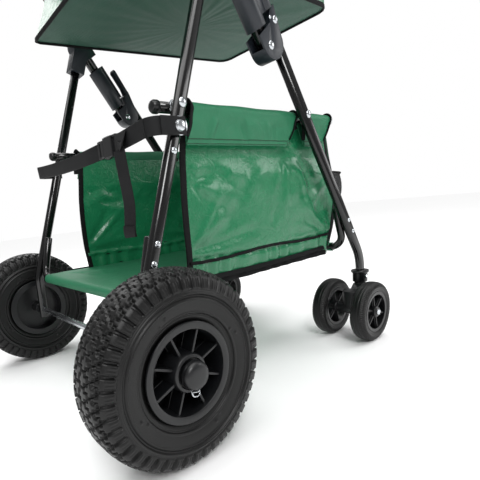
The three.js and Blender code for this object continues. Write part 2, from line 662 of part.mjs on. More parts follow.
/** Half of the strap, standing on edge, from a leg's bolt to the buckle's end at the given y. */
function strapRun(side, endY) {
  const corners = [
    new THREE.Vector3(boltX + 12, side * strapY, STRAP_HEIGHT),
    new THREE.Vector3(strapX, side * strapY, STRAP_HEIGHT),
  ];
  for (const share of [0.15, 0.4, 0.7, 1]) {
    const y = THREE.MathUtils.lerp(side * strapY, endY, share);
    corners.push(new THREE.Vector3(strapX, y, strapZ(y)));
  }
  const [w, t] = [STRAP_WIDTH / 2, STRAP_THICKNESS / 2];
  const section = polygon([[-w, -t], [w, -t], [w, t], [-w, t]]);
  return solid(swept(section, new BentLine(corners, STRAP_BEND, 4)));
}

/** The strap's loose end, hanging from the buckle. */
function strapTail() {
  const y = BUCKLE_Y - BUCKLE.length / 2 - STRAP_WIDTH / 2 - 2;
  const tail = new THREE.BoxGeometry(STRAP_THICKNESS, STRAP_WIDTH, STRAP_TAIL);
  return solid(tail.translate(strapX - STRAP_THICKNESS + 0.5, y, strapZ(y) - STRAP_TAIL / 2 + 6));
}

/** Half of the side-release buckle, from y0 to y1. */
function buckleHalf(y0, y1, height) {
  const box = new THREE.BoxGeometry(BUCKLE.depth, y1 - y0, height);
  return box.translate(strapX, (y0 + y1) / 2, strapZ(BUCKLE_Y));
}

// Rear frame
bothSides("rear_leg", (side) => cut(rearLeg(side), legHole(side, 0, WHEEL_RADIUS, AXLE + GAP),
  legHole(side, railRearPivotX, RAIL_HEIGHT)), "frame");
piece("rear_u_bar", rearUBar(), "frame");
piece("handle_loop", cut(handleLoop(), hingeHole(-1), hingeHole(1), hoopHole(-1), hoopHole(1)), "frame");
const gripRing = [[HANDLE_TUBE + GAP, -GRIP_LENGTH / 2], [GRIP_RADIUS, -GRIP_LENGTH / 2],
  [GRIP_RADIUS, GRIP_LENGTH / 2], [HANDLE_TUBE + GAP, GRIP_LENGTH / 2],
  [HANDLE_TUBE + GAP, -GRIP_LENGTH / 2]];
piece("handle_grip", turned(gripRing, frontX(HANDLE_HEIGHT), HANDLE_HEIGHT), "foam");
bothSides("leg_knuckle", legKnuckle, "plastic");
const axleHalf = wheelY + TYRE_WIDTH / 2 - 1.5;
piece("rear_axle", crossCylinder(AXLE, -axleHalf, axleHalf, 0, WHEEL_RADIUS), "zinc");
bothSides("latch_sleeve", latchSleeve, "plastic");

// Rear wheels
bothSides("rear_tyre", (side) => tyre(rearTyreSection, 0, side * wheelY, WHEEL_RADIUS, 36), "rubber");
bothSides("rear_rim", rearRim, "blackPlastic");
bothSides("hub_cap", hubCap, "blackPlastic");

// Front frame
bothSides("front_leg", (side) => cut(frontLeg(side), legHole(side, railFrontPivotX, RAIL_HEIGHT)), "frame");
bothSides("hinge_bracket", hingeBracket, "plastic");
const bracketFace = BRACKET_THICKNESS / 2 + GAP;
bothSides("hinge_pin",
  (side) => headedPin(PIN, LEG_Y - bracketFace, LEG_Y + bracketFace, side, HINGE.x, HINGE.y), "zinc");
piece("front_u_bar", frontUBar(), "frame");
bothSides("caster_collar", casterCollar, "blackPlastic");

// Side rails, their end caps, and the pins and rivets beside the legs
bothSides("side_rail", (side) => {
  const rod = new THREE.CylinderGeometry(RAIL, RAIL, RAIL_FRONT_X - RAIL_REAR_X, 16).rotateZ(Math.PI / 2);
  const middle = (RAIL_FRONT_X + RAIL_REAR_X) / 2;
  const across = [side * (railY - 20), side * (railY + 20)];
  const hole = crossCylinder(PIN + GAP, ...across, railFrontPivotX, RAIL_HEIGHT);
  return cut(solid(rod.translate(middle, side * railY, RAIL_HEIGHT)), solid(hole));
}, "frame");
bothSides("rail_cap", (side) => {
  const dome = [[0, 0], [RAIL + 1.5, 0], [RAIL + 1.5, 7], [RAIL - 1, 11], [0, 12]];
  const cap = new THREE.LatheGeometry(dome.map(([r, y]) => new THREE.Vector2(r, y)), 20);
  return cap.rotateZ(Math.PI / 2).translate(RAIL_REAR_X - GAP, side * railY, RAIL_HEIGHT);
}, "blackPlastic");
bothSides("rail_pin", (side) => headedPin(PIN, railY - RAIL - GAP, LEG_Y + LEG_THICKNESS / 2 + GAP, side,
  railFrontPivotX, RAIL_HEIGHT), "zinc");
bothSides("rail_rivet", railRivet, "zinc");

// Casters
bothSides("caster_fork", casterFork, "blackPlastic");
bothSides("caster_axle", casterAxle, "zinc");
for (const [sideName, side] of [["right", -1], ["left", 1]]) {
  for (const [place, way] of [["outer", 1], ["inner", -1]]) {
    const y = side * (LEG_Y + way * CASTER_SPREAD);
    const axleX = STEM_X - CASTER_TRAIL;
    piece(`caster_tyre_${sideName}_${place}`, tyre(casterTyreSection, axleX, y, CASTER_RADIUS, 28), "rubber");
    piece(`caster_rim_${sideName}_${place}`, casterRim(y), "blackPlastic");
  }
}

// Cargo sling and pocket
piece("sling_deck", slingDeck(), "green");
bothSides("sling_side", slingSide, "green");
piece("sling_front", slingFront(), "green");
piece("front_pocket", frontPocket(), "mesh");

// Basket
piece("basket_hoop", basketHoop(), "frame");
bothSides("hoop_bolt", hoopBolt, "zinc");
piece("basket", basket(), "green");

// Load strap
bothSides("strap_bolt", (side) => {
  const base = strapY + STRAP_THICKNESS / 2 + GAP;
  const profile = [[0, base], [13, base], [13, base + 1.6], [8, base + 1.6], [7, base + 5], [0, base + 6]];
  return turned(mirrored(profile, side), boltX, STRAP_HEIGHT, 18);
}, "zinc");
const buckleLow = BUCKLE_Y - BUCKLE.length / 2;
const buckleHigh = BUCKLE_Y + BUCKLE.length / 2;
piece("strap_right", join(strapRun(-1, buckleLow - 3), strapTail()), "webbing");
piece("strap_left", strapRun(1, buckleHigh + 3), "webbing");
piece("buckle_socket", buckleHalf(buckleLow, BUCKLE_Y + 8, BUCKLE.height), "blackPlastic");
piece("buckle_plug", buckleHalf(BUCKLE_Y + 8 + GAP, buckleHigh, BUCKLE.height - 5), "blackPlastic");

const extent = new THREE.Box3().setFromObject(cart);
cart.position.x = -(extent.min.x + extent.max.x) / 2;
const object = new THREE.Group();
object.add(cart);

export default object;
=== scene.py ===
"""A folding beach cart: wheels, folding frame, cloth sling, basket and load strap, in the frame of the CAD model."""
import logging
import math
from dataclasses import dataclass, field
from enum import Enum

import bpy
import numpy as np
from mathutils import Matrix, Vector


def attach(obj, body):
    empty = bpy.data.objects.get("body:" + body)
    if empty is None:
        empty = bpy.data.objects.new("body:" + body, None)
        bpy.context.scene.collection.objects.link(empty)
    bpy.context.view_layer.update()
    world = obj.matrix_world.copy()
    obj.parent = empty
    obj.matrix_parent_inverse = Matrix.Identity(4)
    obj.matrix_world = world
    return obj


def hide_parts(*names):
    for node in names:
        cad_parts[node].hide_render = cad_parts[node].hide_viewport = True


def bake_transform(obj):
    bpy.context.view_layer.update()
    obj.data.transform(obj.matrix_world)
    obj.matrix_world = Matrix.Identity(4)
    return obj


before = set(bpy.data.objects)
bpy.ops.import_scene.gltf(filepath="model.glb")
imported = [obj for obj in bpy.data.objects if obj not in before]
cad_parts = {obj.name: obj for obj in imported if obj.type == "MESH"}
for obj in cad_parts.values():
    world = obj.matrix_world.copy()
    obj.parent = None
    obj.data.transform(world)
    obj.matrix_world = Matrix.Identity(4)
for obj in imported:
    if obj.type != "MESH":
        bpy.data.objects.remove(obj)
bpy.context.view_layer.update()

log = logging.getLogger("cart")
logging.basicConfig(level=logging.INFO, format="%(message)s")

MM = 0.001
CENTRE_X = 241.3285  # from the rear axle forward to the middle of the cart, in mm
LEG_Y = 230.0
LEG_FACE = 238.0
RAIL_Y = 207.0
RAIL_Z = 472.0
HINGE = (291.0, 568.5)
FRONT_LEAN = -0.66
REAR_LEAN = 0.365
HAND_BAR_Z = 962.0
HOOP_Z = 872.0


class Side(Enum):
    """The side of the cart: its name, and its sign along Y."""

    RIGHT = -1
    LEFT = 1

    @property
    def word(self) -> str:
        """The side's name as the CAD nodes spell it."""
        return self.name.lower()


# ---------------------------------------------------------------- geometry


def linear(hex_colour: str) -> tuple[float, float, float, float]:
    """An sRGB hex colour as linear RGBA."""
    parts = [int(hex_colour[i : i + 2], 16) / 255 for i in (1, 3, 5)]
    return tuple(c / 12.92 if c <= 0.04045 else ((c + 0.055) / 1.055) ** 2.4 for c in parts) + (1.0,)


def to_row(points: np.ndarray) -> np.ndarray:
    """Millimetres about the rear axle as metres about the middle of the cart's base."""
    return (np.asarray(points, float) - (CENTRE_X, 0, 0)) * MM


def rear_x(z: float) -> float:
    """Where the rear leg's middle line is at height z."""
    return 4.0 + (z - 205.0) * REAR_LEAN


def handle_x(z: float) -> float:
    """Where the handle tube's middle line is at height z."""
    return HINGE[0] + (z - HINGE[1]) * FRONT_LEAN


def by_hinge(across: float, along: float) -> tuple[float, float]:
    """A point across and along the front leg, from the hinge, as x and z."""
    up = np.array([FRONT_LEAN, 1.0]) / math.hypot(FRONT_LEAN, 1)
    over = np.array([up[1], -up[0]])
    return tuple(np.array(HINGE) + across * over + along * up)


LEG_TOP = by_hinge(32, 24)


def front_x(z: float) -> float:
    """Where the front leg's middle line is at height z."""
    return LEG_TOP[0] + (z - LEG_TOP[1]) * FRONT_LEAN


def new_piece(name: str, verts: np.ndarray, faces: list, material: bpy.types.Material, body: str,
              smooth: bool = True) -> bpy.types.Object:
    """Adds a mesh piece that moves with a body.

    Args:
        name: the piece's name.
        verts: its vertices, in mm about the rear axle.
        faces: its faces, as vertex numbers.
        material: its finish.
        body: the CAD body it rides, or "" for a piece left on no body.
        smooth: whether its faces are shaded smooth.

    Returns:
        The new object.
    """
    mesh = bpy.data.meshes.new(name)
    mesh.from_pydata(to_row(verts).tolist(), [], faces)
    mesh.validate()
    mesh.polygons.foreach_set("use_smooth", [smooth] * len(mesh.polygons))
    mesh.materials.append(material)
    obj = bpy.data.objects.new(name, mesh)
    bpy.context.scene.collection.objects.link(obj)
    if body:
        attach(obj, body)
    return obj


def grid_faces(rows: int, cols: int, close_rows: bool = False, close_cols: bool = False) -> list:
    """Quads over a grid of rows x cols vertices, joined round where asked."""
    r = np.arange(rows if close_rows else rows - 1)
    c = np.arange(cols if close_cols else cols - 1)
    i, j = np.meshgrid(r, c, indexing="ij")
    i2, j2 = (i + 1) % rows, (j + 1) % cols
    quads = np.stack([i * cols + j, i * cols + j2, i2 * cols + j2, i2 * cols + j], -1)
    return quads.reshape(-1, 4).tolist()


def add_uv(obj: bpy.types.Object, u: np.ndarray, v: np.ndarray) -> None:
    """Lays a UV map on a grid piece, from u and v for each vertex in metres."""
    layer = obj.data.uv_layers.new(name="cloth")
    index = np.empty(len(obj.data.loops), int)
    obj.data.loops.foreach_get("vertex_index", index)
    flat = np.stack([u.ravel()[index], v.ravel()[index]], -1)
    layer.data.foreach_set("uv", flat.ravel())


def bevel(obj: bpy.types.Object, width: float, segments: int = 2, angle: float = 35) -> None:
    """Rounds a piece's sharp edges by a width in mm."""
    mod = obj.modifiers.new("edges", "BEVEL")
    mod.width = width * MM
    mod.segments = segments
    mod.limit_method = "ANGLE"
    mod.angle_limit = math.radians(angle)
    mod.harden_normals = True


def thicken(obj: bpy.types.Object, thickness: float, offset: float = 0.0) -> None:
    """Gives a cloth surface its thickness, in mm."""
    mod = obj.modifiers.new("cloth", "SOLIDIFY")
    mod.thickness = thickness * MM
    mod.offset = offset


def unit(v: np.ndarray) -> np.ndarray:
    """The vectors at unit length."""
    return v / np.maximum(np.linalg.norm(v, axis=-1, keepdims=True), 1e-12)


def bent(corners: list, radius: float, steps: int = 12) -> np.ndarray:
    """A line of straight runs joined by circular arcs of one radius, as points."""
    pts = [np.array(p, float) for p in corners]
    out = [pts[0]]
    for before, at, after in zip(pts, pts[1:], pts[2:]):
        d0, d1 = unit(at - before), unit(after - at)
        turn = math.acos(float(np.clip(d0 @ d1, -1, 1)))
        if turn < 1e-4:
            out.append(at)
            continue
        normal = (d1 - math.cos(turn) * d0) / math.sin(turn)
        start = at - d0 * radius * math.tan(turn / 2)
        for phi in np.linspace(0, turn, steps + 1):
            out.append(start + radius * (math.sin(phi) * d0 + (1 - math.cos(phi)) * normal))
    out.append(pts[-1])
    return np.array(out)


def frames(path: np.ndarray, side: np.ndarray | None = None) -> tuple[np.ndarray, np.ndarray, np.ndarray]:
    """Tangent, side and up directions along a path, with the side carried from point to point."""
    tangent = unit(np.gradient(path, axis=0))
    first = np.array(side if side is not None else (0.0, 1.0, 0.0), float)
    if abs(first @ tangent[0]) > 0.95:
        first = np.array([0.0, 0.0, 1.0])
    sides = []
    for t in tangent:
        first = unit(first - (first @ t) * t)
        sides.append(first)
    sides = np.array(sides)
    return tangent, sides, np.cross(tangent, sides)


def circle(radius: float, count: int = 32) -> np.ndarray:
    """A round section."""
    a = np.linspace(0, 2 * math.pi, count, endpoint=False)
    return radius * np.stack([np.cos(a), np.sin(a)], -1)


def flat_oval(thickness: float, width: float, count: int = 40) -> np.ndarray:
    """A section with flat sides and round ends: thickness along the side direction, width along the up one."""
    a = np.linspace(0, 2 * math.pi, count, endpoint=False)
    x, y = np.cos(a) * thickness / 2, np.sin(a) * thickness / 2
    return np.stack([x, y + np.sign(y + 1e-9) * (width - thickness) / 2], -1)


def sweep(name: str, path: np.ndarray, section: np.ndarray, material: bpy.types.Material, body: str,
          dome: float = 2.0, side: np.ndarray | None = None) -> bpy.types.Object:
    """A section carried along a path, closed by low domes of the given depth in mm."""
    tangent, sides, ups = frames(path, side)
    rings = []
    turn = np.linspace(math.pi / 2, 0, 5)[:-1]
    for a in turn:
        rings.append((path[0] - tangent[0] * dome * math.sin(a), max(math.cos(a), 0.02), 0))
    rings += [(p, 1.0, i) for i, p in enumerate(path)]
    for a in turn[::-1]:
        rings.append((path[-1] + tangent[-1] * dome * math.sin(a), max(math.cos(a), 0.02), len(path) - 1))
    verts = np.concatenate([
        p + scale * (section[:, :1] * sides[i] + section[:, 1:] * ups[i]) for p, scale, i in rings])
    n = len(section)
    faces = grid_faces(len(rings), n, close_cols=True)
    faces.append(list(range(n))[::-1])
    faces.append([(len(rings) - 1) * n + k for k in range(n)])
    obj = new_piece(name, verts, faces, material, body)
    return obj


def lathe(profile: np.ndarray, centre: tuple, count: int = 64) -> tuple[np.ndarray, list]:
    """A closed [radius, y] profile turned about the line along Y through a centre: vertices and faces."""
    profile = np.asarray(profile, float)
    a = np.linspace(0, 2 * math.pi, count, endpoint=False)[:, None]
    x = profile[:, 0] * np.cos(a)
    z = profile[:, 0] * np.sin(a)
    y = np.broadcast_to(profile[:, 1], x.shape)
    verts = np.stack([x, y, z], -1).reshape(-1, 3) + np.array(centre)
    return verts, grid_faces(count, len(profile), close_rows=True, close_cols=True)


def boxes(items: list) -> tuple[np.ndarray, list]:
    """Several boxes in one mesh, each given as (centre, half sizes, rotation matrix)."""
    corner = np.array([[x, y, z] for x in (-1, 1) for y in (-1, 1) for z in (-1, 1)], float)
    side = [[0, 1, 3, 2], [4, 6, 7, 5], [0, 4, 5, 1], [2, 3, 7, 6], [0, 2, 6, 4], [1, 5, 7, 3]]
    verts, faces = [], []
    for i, (centre, half, turn) in enumerate(items):
        verts.append((corner * half) @ np.asarray(turn).T + centre)
        faces += [[8 * i + k for k in f] for f in side]
    return np.concatenate(verts), faces


def turn_y(angle: float) -> np.ndarray:
    """A rotation about Y."""
    c, s = math.cos(angle), math.sin(angle)
    return np.array([[c, 0, s], [0, 1, 0], [-s, 0, c]])


def smooth_line(knots: list, count: int) -> np.ndarray:
    """A smooth curve through the knots, as evenly spaced points (Catmull-Rom, then resampled by length)."""
    k = np.asarray(knots, float)
    k = np.concatenate([[2 * k[0] - k[1]], k, [2 * k[-1] - k[-2]]])
    t = np.linspace(0, 1, 24, endpoint=False)[:, None]
    parts = []
    for p0, p1, p2, p3 in zip(k, k[1:], k[2:], k[3:]):
        parts.append(0.5 * (2 * p1 + (p2 - p0) * t + (2 * p0 - 5 * p1 + 4 * p2 - p3) * t**2
                            + (3 * p1 - p0 - 3 * p2 + p3) * t**3))
    pts = np.concatenate(parts + [k[-2:-1]])
    length = np.concatenate([[0], np.cumsum(np.linalg.norm(np.diff(pts, axis=0), axis=1))])
    even = np.linspace(0, length[-1], count)
    return np.stack([np.interp(even, length, pts[:, i]) for i in range(pts.shape[1])], -1)


# ---------------------------------------------------------------- finishes


@dataclass(frozen=True)
class Finish:
    """A finish of one colour with fine grain and an uneven sheen.

    Attributes:
        name: the real finish.
        colour: its sRGB colour.
        roughness: its mean roughness.
        metallic: 1 for bare metal.
        coat: how strong a clear gloss lies over it.
        grain: size of its surface grain, in mm.
        relief: depth of that grain, in mm.
        patches: how much the sheen and shade vary from place to place.
        shine: how strongly its surface mirrors, where 0.5 is a usual plastic.
    """

    name: str
    colour: str
    roughness: float
    metallic: float = 0.0
    coat: float = 0.0
    grain: float = 1.0
    relief: float = 0.02
    patches: float = 0.12
    shine: float = 0.5

    def begin(self) -> tuple:
        """A new material with its node tree and its main shader."""
        material = bpy.data.materials.new(self.name)
        material.use_nodes = True
        tree = material.node_tree
        shader = tree.nodes["Principled BSDF"]
        shader.inputs["Base Color"].default_value = linear(self.colour)
        shader.inputs["Metallic"].default_value = self.metallic
        shader.inputs["Roughness"].default_value = self.roughness
        shader.inputs["Coat Weight"].default_value = self.coat
        shader.inputs["Coat Roughness"].default_value = 0.12
        shader.inputs["Specular IOR Level"].default_value = self.shine
        return material, tree, shader

    def build(self) -> bpy.types.Material:
        """The material."""
        material, tree, shader = self.begin()
        coords = add_node(tree, "ShaderNodeTexCoord").outputs["Object"]
        self.sheen(tree, shader, coords)
        grain = add_node(tree, "ShaderNodeTexNoise", Scale=1000 / self.grain, Detail=2.0)
        tree.links.new(coords, grain.inputs["Vector"])
        bump = add_node(tree, "ShaderNodeBump", Strength=0.6, Distance=self.relief * MM)
        tree.links.new(grain.outputs["Fac"], bump.inputs["Height"])
        tree.links.new(bump.outputs["Normal"], shader.inputs["Normal"])
        return material

    def sheen(self, tree: bpy.types.NodeTree, shader: bpy.types.Node, coords: bpy.types.NodeSocket) -> None:
        """Lets the roughness and the shade drift over some 40 mm, as handling and moulding leave them."""
        drift = add_node(tree, "ShaderNodeTexNoise", Scale=25.0, Detail=4.0)
        tree.links.new(coords, drift.inputs["Vector"])
        rough = add_node(tree, "ShaderNodeMapRange")
        rough.inputs["To Min"].default_value = max(self.roughness - self.patches, 0.05)
        rough.inputs["To Max"].default_value = min(self.roughness + self.patches, 1.0)
        tree.links.new(drift.outputs["Fac"], rough.inputs["Value"])
        tree.links.new(rough.outputs["Result"], shader.inputs["Roughness"])
        shade = add_node(tree, "ShaderNodeMapRange")
        shade.inputs["To Min"].default_value = 1 - self.patches
        shade.inputs["To Max"].default_value = 1 + self.patches
        tree.links.new(drift.outputs["Fac"], shade.inputs["Value"])
        tint = add_node(tree, "ShaderNodeHueSaturation")
        tint.inputs["Color"].default_value = linear(self.colour)
        tree.links.new(shade.outputs["Result"], tint.inputs["Value"])
        tree.links.new(tint.outputs["Color"], shader.inputs["Base Color"])


def add_node(tree: bpy.types.NodeTree, kind: str, **inputs: float) -> bpy.types.Node:
    """Adds a node and sets its named inputs."""
    node = tree.nodes.new(kind)
    for name, value in inputs.items():
        node.inputs[name].default_value = value
    return node


@dataclass(frozen=True)
class Cloth(Finish):
    """A woven finish, whose threads follow the piece's own UV map in metres.

    Attributes:
        pitch: distance between threads, in mm.
        through: share of light that passes through the cloth.
        crinkle: depth of its fine creasing, in mm.
    """

    pitch: float = 0.9
    through: float = 0.2
    crinkle: float = 0.5

    def build(self) -> bpy.types.Material:
        """The material: crossed threads, fine creases, and some light let through."""
        material, tree, shader = self.begin()
        coords = add_node(tree, "ShaderNodeUVMap")
        coords.uv_map = "cloth"
        uv = coords.outputs["UV"]
        self.sheen(tree, shader, uv)
        heights = []
        for direction in ("X", "Y"):
            wave = add_node(tree, "ShaderNodeTexWave", Scale=1000 / self.pitch / (2 * math.pi) * 0.5)
            wave.wave_type = "BANDS"
            wave.bands_direction = direction
            tree.links.new(uv, wave.inputs["Vector"])
            heights.append(wave.outputs["Fac"])
        weave = add_node(tree, "ShaderNodeMath")
        weave.operation = "MULTIPLY"
        tree.links.new(heights[0], weave.inputs[0])
        tree.links.new(heights[1], weave.inputs[1])
        fine = add_node(tree, "ShaderNodeBump", Strength=0.5, Distance=0.08 * MM)
        tree.links.new(weave.outputs[0], fine.inputs["Height"])
        creases = add_node(tree, "ShaderNodeTexNoise", Scale=38.0, Detail=5.0, Roughness=0.55, Distortion=0.8)
        tree.links.new(uv, creases.inputs["Vector"])
        ridge = add_node(tree, "ShaderNodeMath")
        ridge.operation = "PINGPONG"
        ridge.inputs[1].default_value = 0.12
        tree.links.new(creases.outputs["Fac"], ridge.inputs[0])
        coarse = add_node(tree, "ShaderNodeBump", Strength=1.0, Distance=self.crinkle * 8 * MM)
        tree.links.new(ridge.outputs[0], coarse.inputs["Height"])
        tree.links.new(fine.outputs["Normal"], coarse.inputs["Normal"])
        tree.links.new(coarse.outputs["Normal"], shader.inputs["Normal"])
        if self.through > 0:
            lit = add_node(tree, "ShaderNodeBsdfTranslucent", Color=linear(self.colour))
            mix = add_node(tree, "ShaderNodeMixShader", Fac=self.through)
            out = tree.nodes["Material Output"]
            tree.links.new(shader.outputs[0], mix.inputs[1])
            tree.links.new(lit.outputs[0], mix.inputs[2])
            tree.links.new(mix.outputs[0], out.inputs["Surface"])
        return material


@dataclass(frozen=True)
class Mesh(Cloth):
    """An open net: black threads with holes between them."""

    def build(self) -> bpy.types.Material:
        """The material: the cloth, with round holes cut through it."""
        material = super().build()
        tree = material.node_tree
        out = tree.nodes["Material Output"]
        cloth = out.inputs["Surface"].links[0].from_socket
        uv = next(n for n in tree.nodes if n.bl_idname == "ShaderNodeUVMap").outputs["UV"]
        cells = add_node(tree, "ShaderNodeTexVoronoi", Scale=1000 / 2.6, Randomness=0.1)
        tree.links.new(uv, cells.inputs["Vector"])
        hole = add_node(tree, "ShaderNodeMath")
        hole.operation = "LESS_THAN"
        hole.inputs[1].default_value = 0.3
        tree.links.new(cells.outputs["Distance"], hole.inputs[0])
        clear = add_node(tree, "ShaderNodeBsdfTransparent")
        mix = add_node(tree, "ShaderNodeMixShader")
        tree.links.new(hole.outputs[0], mix.inputs[0])
        tree.links.new(cloth, mix.inputs[1])
        tree.links.new(clear.outputs[0], mix.inputs[2])
        tree.links.new(mix.outputs[0], out.inputs["Surface"])
        return material


class Palette:
    """Every finish on the cart, built once."""

    def __init__(self) -> None:
        """Builds every finish."""
        self.frame = Finish("gloss black powder coat", "#060607", 0.18, coat=0.2, grain=0.8, relief=0.008,
                            patches=0.05).build()
        self.hinge = Finish("blue-grey moulded nylon", "#1B2027", 0.42, grain=0.5, relief=0.02).build()
        self.plastic = Finish("black moulded plastic", "#0D0E10", 0.36, grain=0.6, relief=0.02).build()
        self.tyre = Finish("black wheel rubber", "#080808", 0.42, grain=0.7, relief=0.06, patches=0.1,
                           shine=0.35).build()
        self.foam = Finish("closed-cell foam", "#151516", 0.9, grain=1.6, relief=0.25).build()
        self.zinc = Finish("bright zinc plate", "#C9CDD1", 0.24, metallic=1, grain=1.2, relief=0.004,
                           patches=0.06).build()
        self.grey = Finish("light grey plastic", "#C6C8C9", 0.45).build()
        self.green = Cloth("green coated polyester", "#1F7A50", 0.26, coat=0.28, patches=0.08, through=0.14,
                           crinkle=0.35).build()
        self.matt_green = Cloth("green uncoated polyester", "#2A7C57", 0.55, patches=0.1, through=0.2,
                                crinkle=0.3).build()
        self.lining = Cloth("green cloth, uncoated back", "#235341", 0.55, patches=0.1, through=0.2,
                            crinkle=0.3).build()
        self.binding = Cloth("black binding tape", "#08090A", 0.75, pitch=1.1, through=0.0, crinkle=0.15,
                             shine=0.2).build()
        self.stitch = Cloth("green thread", "#12452C", 0.7, pitch=1.6, through=0.0, crinkle=0.1).build()
        self.webbing = Cloth("black strap webbing", "#0A0B0D", 0.65, pitch=1.6, through=0.0, crinkle=0.05,
                             shine=0.3).build()
        self.net = Mesh("black net cloth", "#141517", 0.6, pitch=1.0, through=0.1).build()


# ---------------------------------------------------------------- moulded and turned parts


def dress(node: str, material: bpy.types.Material, edge: float, angle: float = 35) -> bpy.types.Object:
    """Shows a CAD node in a finish, with its sharp edges rounded by edge mm."""
    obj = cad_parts[node]
    obj.data.materials.clear()
    obj.data.materials.append(material)
    obj.data.polygons.foreach_set("use_smooth", [True] * len(obj.data.polygons))
    obj.hide_render = False
    weld = obj.modifiers.new("weld", "WELD")
    weld.merge_threshold = 0.02 * MM
    if edge:
        bevel(obj, edge, angle=angle)
    return obj


def dome_profile(radius: float, height: float, base: float, out: float) -> np.ndarray:
    """A rivet head's half section, from its flat base outward along Y in the direction out."""
    a = np.linspace(0, math.pi / 2, 7)
    rim = np.stack([radius * np.cos(a), base + out * height * np.sin(a)], -1)
    return np.concatenate([[[0.01, base]], rim])


@dataclass
class Fasteners:
    """The rivets and bolts on the outer faces of the legs."""

    palette: Palette
    rear: tuple = ((90, 408), (34, 284), (25, 257))
    front: tuple = ((532, 266), (549, 241))

    def head(self, name: str, x: float, z: float, side: Side, body: str, radius: float = 5.2,
             height: float = 3.0, face: float = LEG_FACE) -> None:
        """One domed head on a leg's face."""
        profile = dome_profile(radius, height, side.value * (face - 0.3), side.value)
        verts, faces = lathe(profile, (x, 0, z), 28)
        new_piece(name, verts, faces, self.palette.zinc, body)

    def build(self) -> None:
        """All of them, on both sides."""
        for side in Side:
            for i, (x, z) in enumerate(self.rear):
                self.head(f"rear_leg_rivet_{side.word}_{i}", rear_x(z), z, side, "rear_frame")
            for i, (x, z) in enumerate(self.front):
                self.head(f"front_leg_rivet_{side.word}_{i}", front_x(z), z, side, "front_frame", 4.6, 2.6)
            x, z = by_hinge(31, 26)
            self.head(f"bracket_rivet_{side.word}", x, z, side, "front_frame", 6.0, 3.4, LEG_Y + 15)
            x, z = by_hinge(22, 34)
            self.head(f"bracket_pin_{side.word}", x, z, side, "front_frame", 3.0, 2.0, LEG_Y + 15)
        log.info("rivets")


@dataclass
class TubeFrame:
    """The bent tubes: legs, deck bars, handle, rails and basket hoop, and the grip."""

    palette: Palette

    def tube(self, name: str, nodes: list, path: np.ndarray, section: np.ndarray, body: str,
             dome: float = 2.0) -> bpy.types.Object:
        """One tube in place of its CAD nodes."""
        obj = sweep(name, path, section, self.palette.frame, body, dome)
        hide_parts(*nodes)
        return obj

    def legs(self, side: Side) -> None:
        """A rear and a front leg."""
        y = side.value * LEG_Y
        top_z = 712.0 - 26
        path = bent([(0, y, 112), (4, y, 205), (rear_x(top_z), y, top_z)], 60)
        self.tube(f"rear_leg_{side.word}_tube", [f"rear_leg_{side.word}"], path, flat_oval(16, 20), "rear_frame")
        stem_z = LEG_TOP[1] + (588 - LEG_TOP[0]) / FRONT_LEAN
        path = bent([(LEG_TOP[0], y, LEG_TOP[1]), (588, y, stem_z), (588, y, 147)], 90)
        self.tube(f"front_leg_{side.word}_tube", [f"front_leg_{side.word}"], path, flat_oval(16, 22),
                  "front_frame", 0.6)

    def deck_bar(self, name: str, x: float, end_x: float, body: str) -> None:
        """One of the U-shaped bars that carry the deck."""
        y = LEG_Y - 16.5
        path = bent([(end_x, -y, 293), (x, -y, 205), (x, y, 205), (end_x, y, 293)], 32)
        self.tube(name + "_tube", [name], path, circle(8), body)

    def handle(self) -> None:
        """The handle tube and its grip."""
        foot = by_hinge(0, -8)
        top = handle_x(HAND_BAR_Z)
        path = bent([(foot[0], -LEG_Y, foot[1]), (top, -LEG_Y, HAND_BAR_Z), (top, LEG_Y, HAND_BAR_Z),
                     (foot[0], LEG_Y, foot[1])], 60, 16)
        self.tube("handle_tube", ["handle_loop"], path, circle(11, 40), "rear_frame")
        half = 165
        profile = [(11.2, -half), (14.5, -half), (16, -half + 2), (16, half - 2), (14.5, half), (11.2, half)]
        verts, faces = lathe(profile, (top, 0, HAND_BAR_Z), 48)
        grip = new_piece("foam_grip", verts, faces, self.palette.foam, "rear_frame")
        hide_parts("handle_grip")

    def rails(self, side: Side) -> None:
        """A side rail with its end caps."""
        y = side.value * RAIL_Y
        path = np.array([(x, y, RAIL_Z) for x in np.linspace(80, 509, 12)])
        self.tube(f"side_rail_{side.word}_tube", [f"side_rail_{side.word}"], path, circle(8), f"rail_{side.word}", 0.5)
        path = np.array([(x, y, RAIL_Z) for x in np.linspace(497, 511, 4)])
        sweep(f"rail_plug_{side.word}", path, circle(9.3), self.palette.grey, f"rail_{side.word}", 3.5)

    def hoop(self) -> None:
        """The basket's hoop."""
        rear = handle_x(HOOP_Z) - 12
        path = bent([(rear, -203, HOOP_Z), (606, -203, HOOP_Z), (606, 203, HOOP_Z), (rear, 203, HOOP_Z)], 60, 16)
        self.tube("hoop_tube", ["basket_hoop"], path, circle(7), "basket_frame")
        bar = np.array([(127, y, HOOP_Z) for y in np.linspace(-198, 198, 8)])
        sweep("hoop_bar", bar, circle(5), self.palette.frame, "basket_frame", 1, np.array([1.0, 0, 0]))

    def build(self) -> None:
        """All tubes."""
        for side in Side:
            self.legs(side)
            self.rails(side)
        self.deck_bar("rear_u_bar", 12, rear_x(293), "rear_frame")
        self.deck_bar("front_u_bar", 549, front_x(293) + 9, "front_frame")
        self.handle()
        self.hoop()
        log.info("tubes")


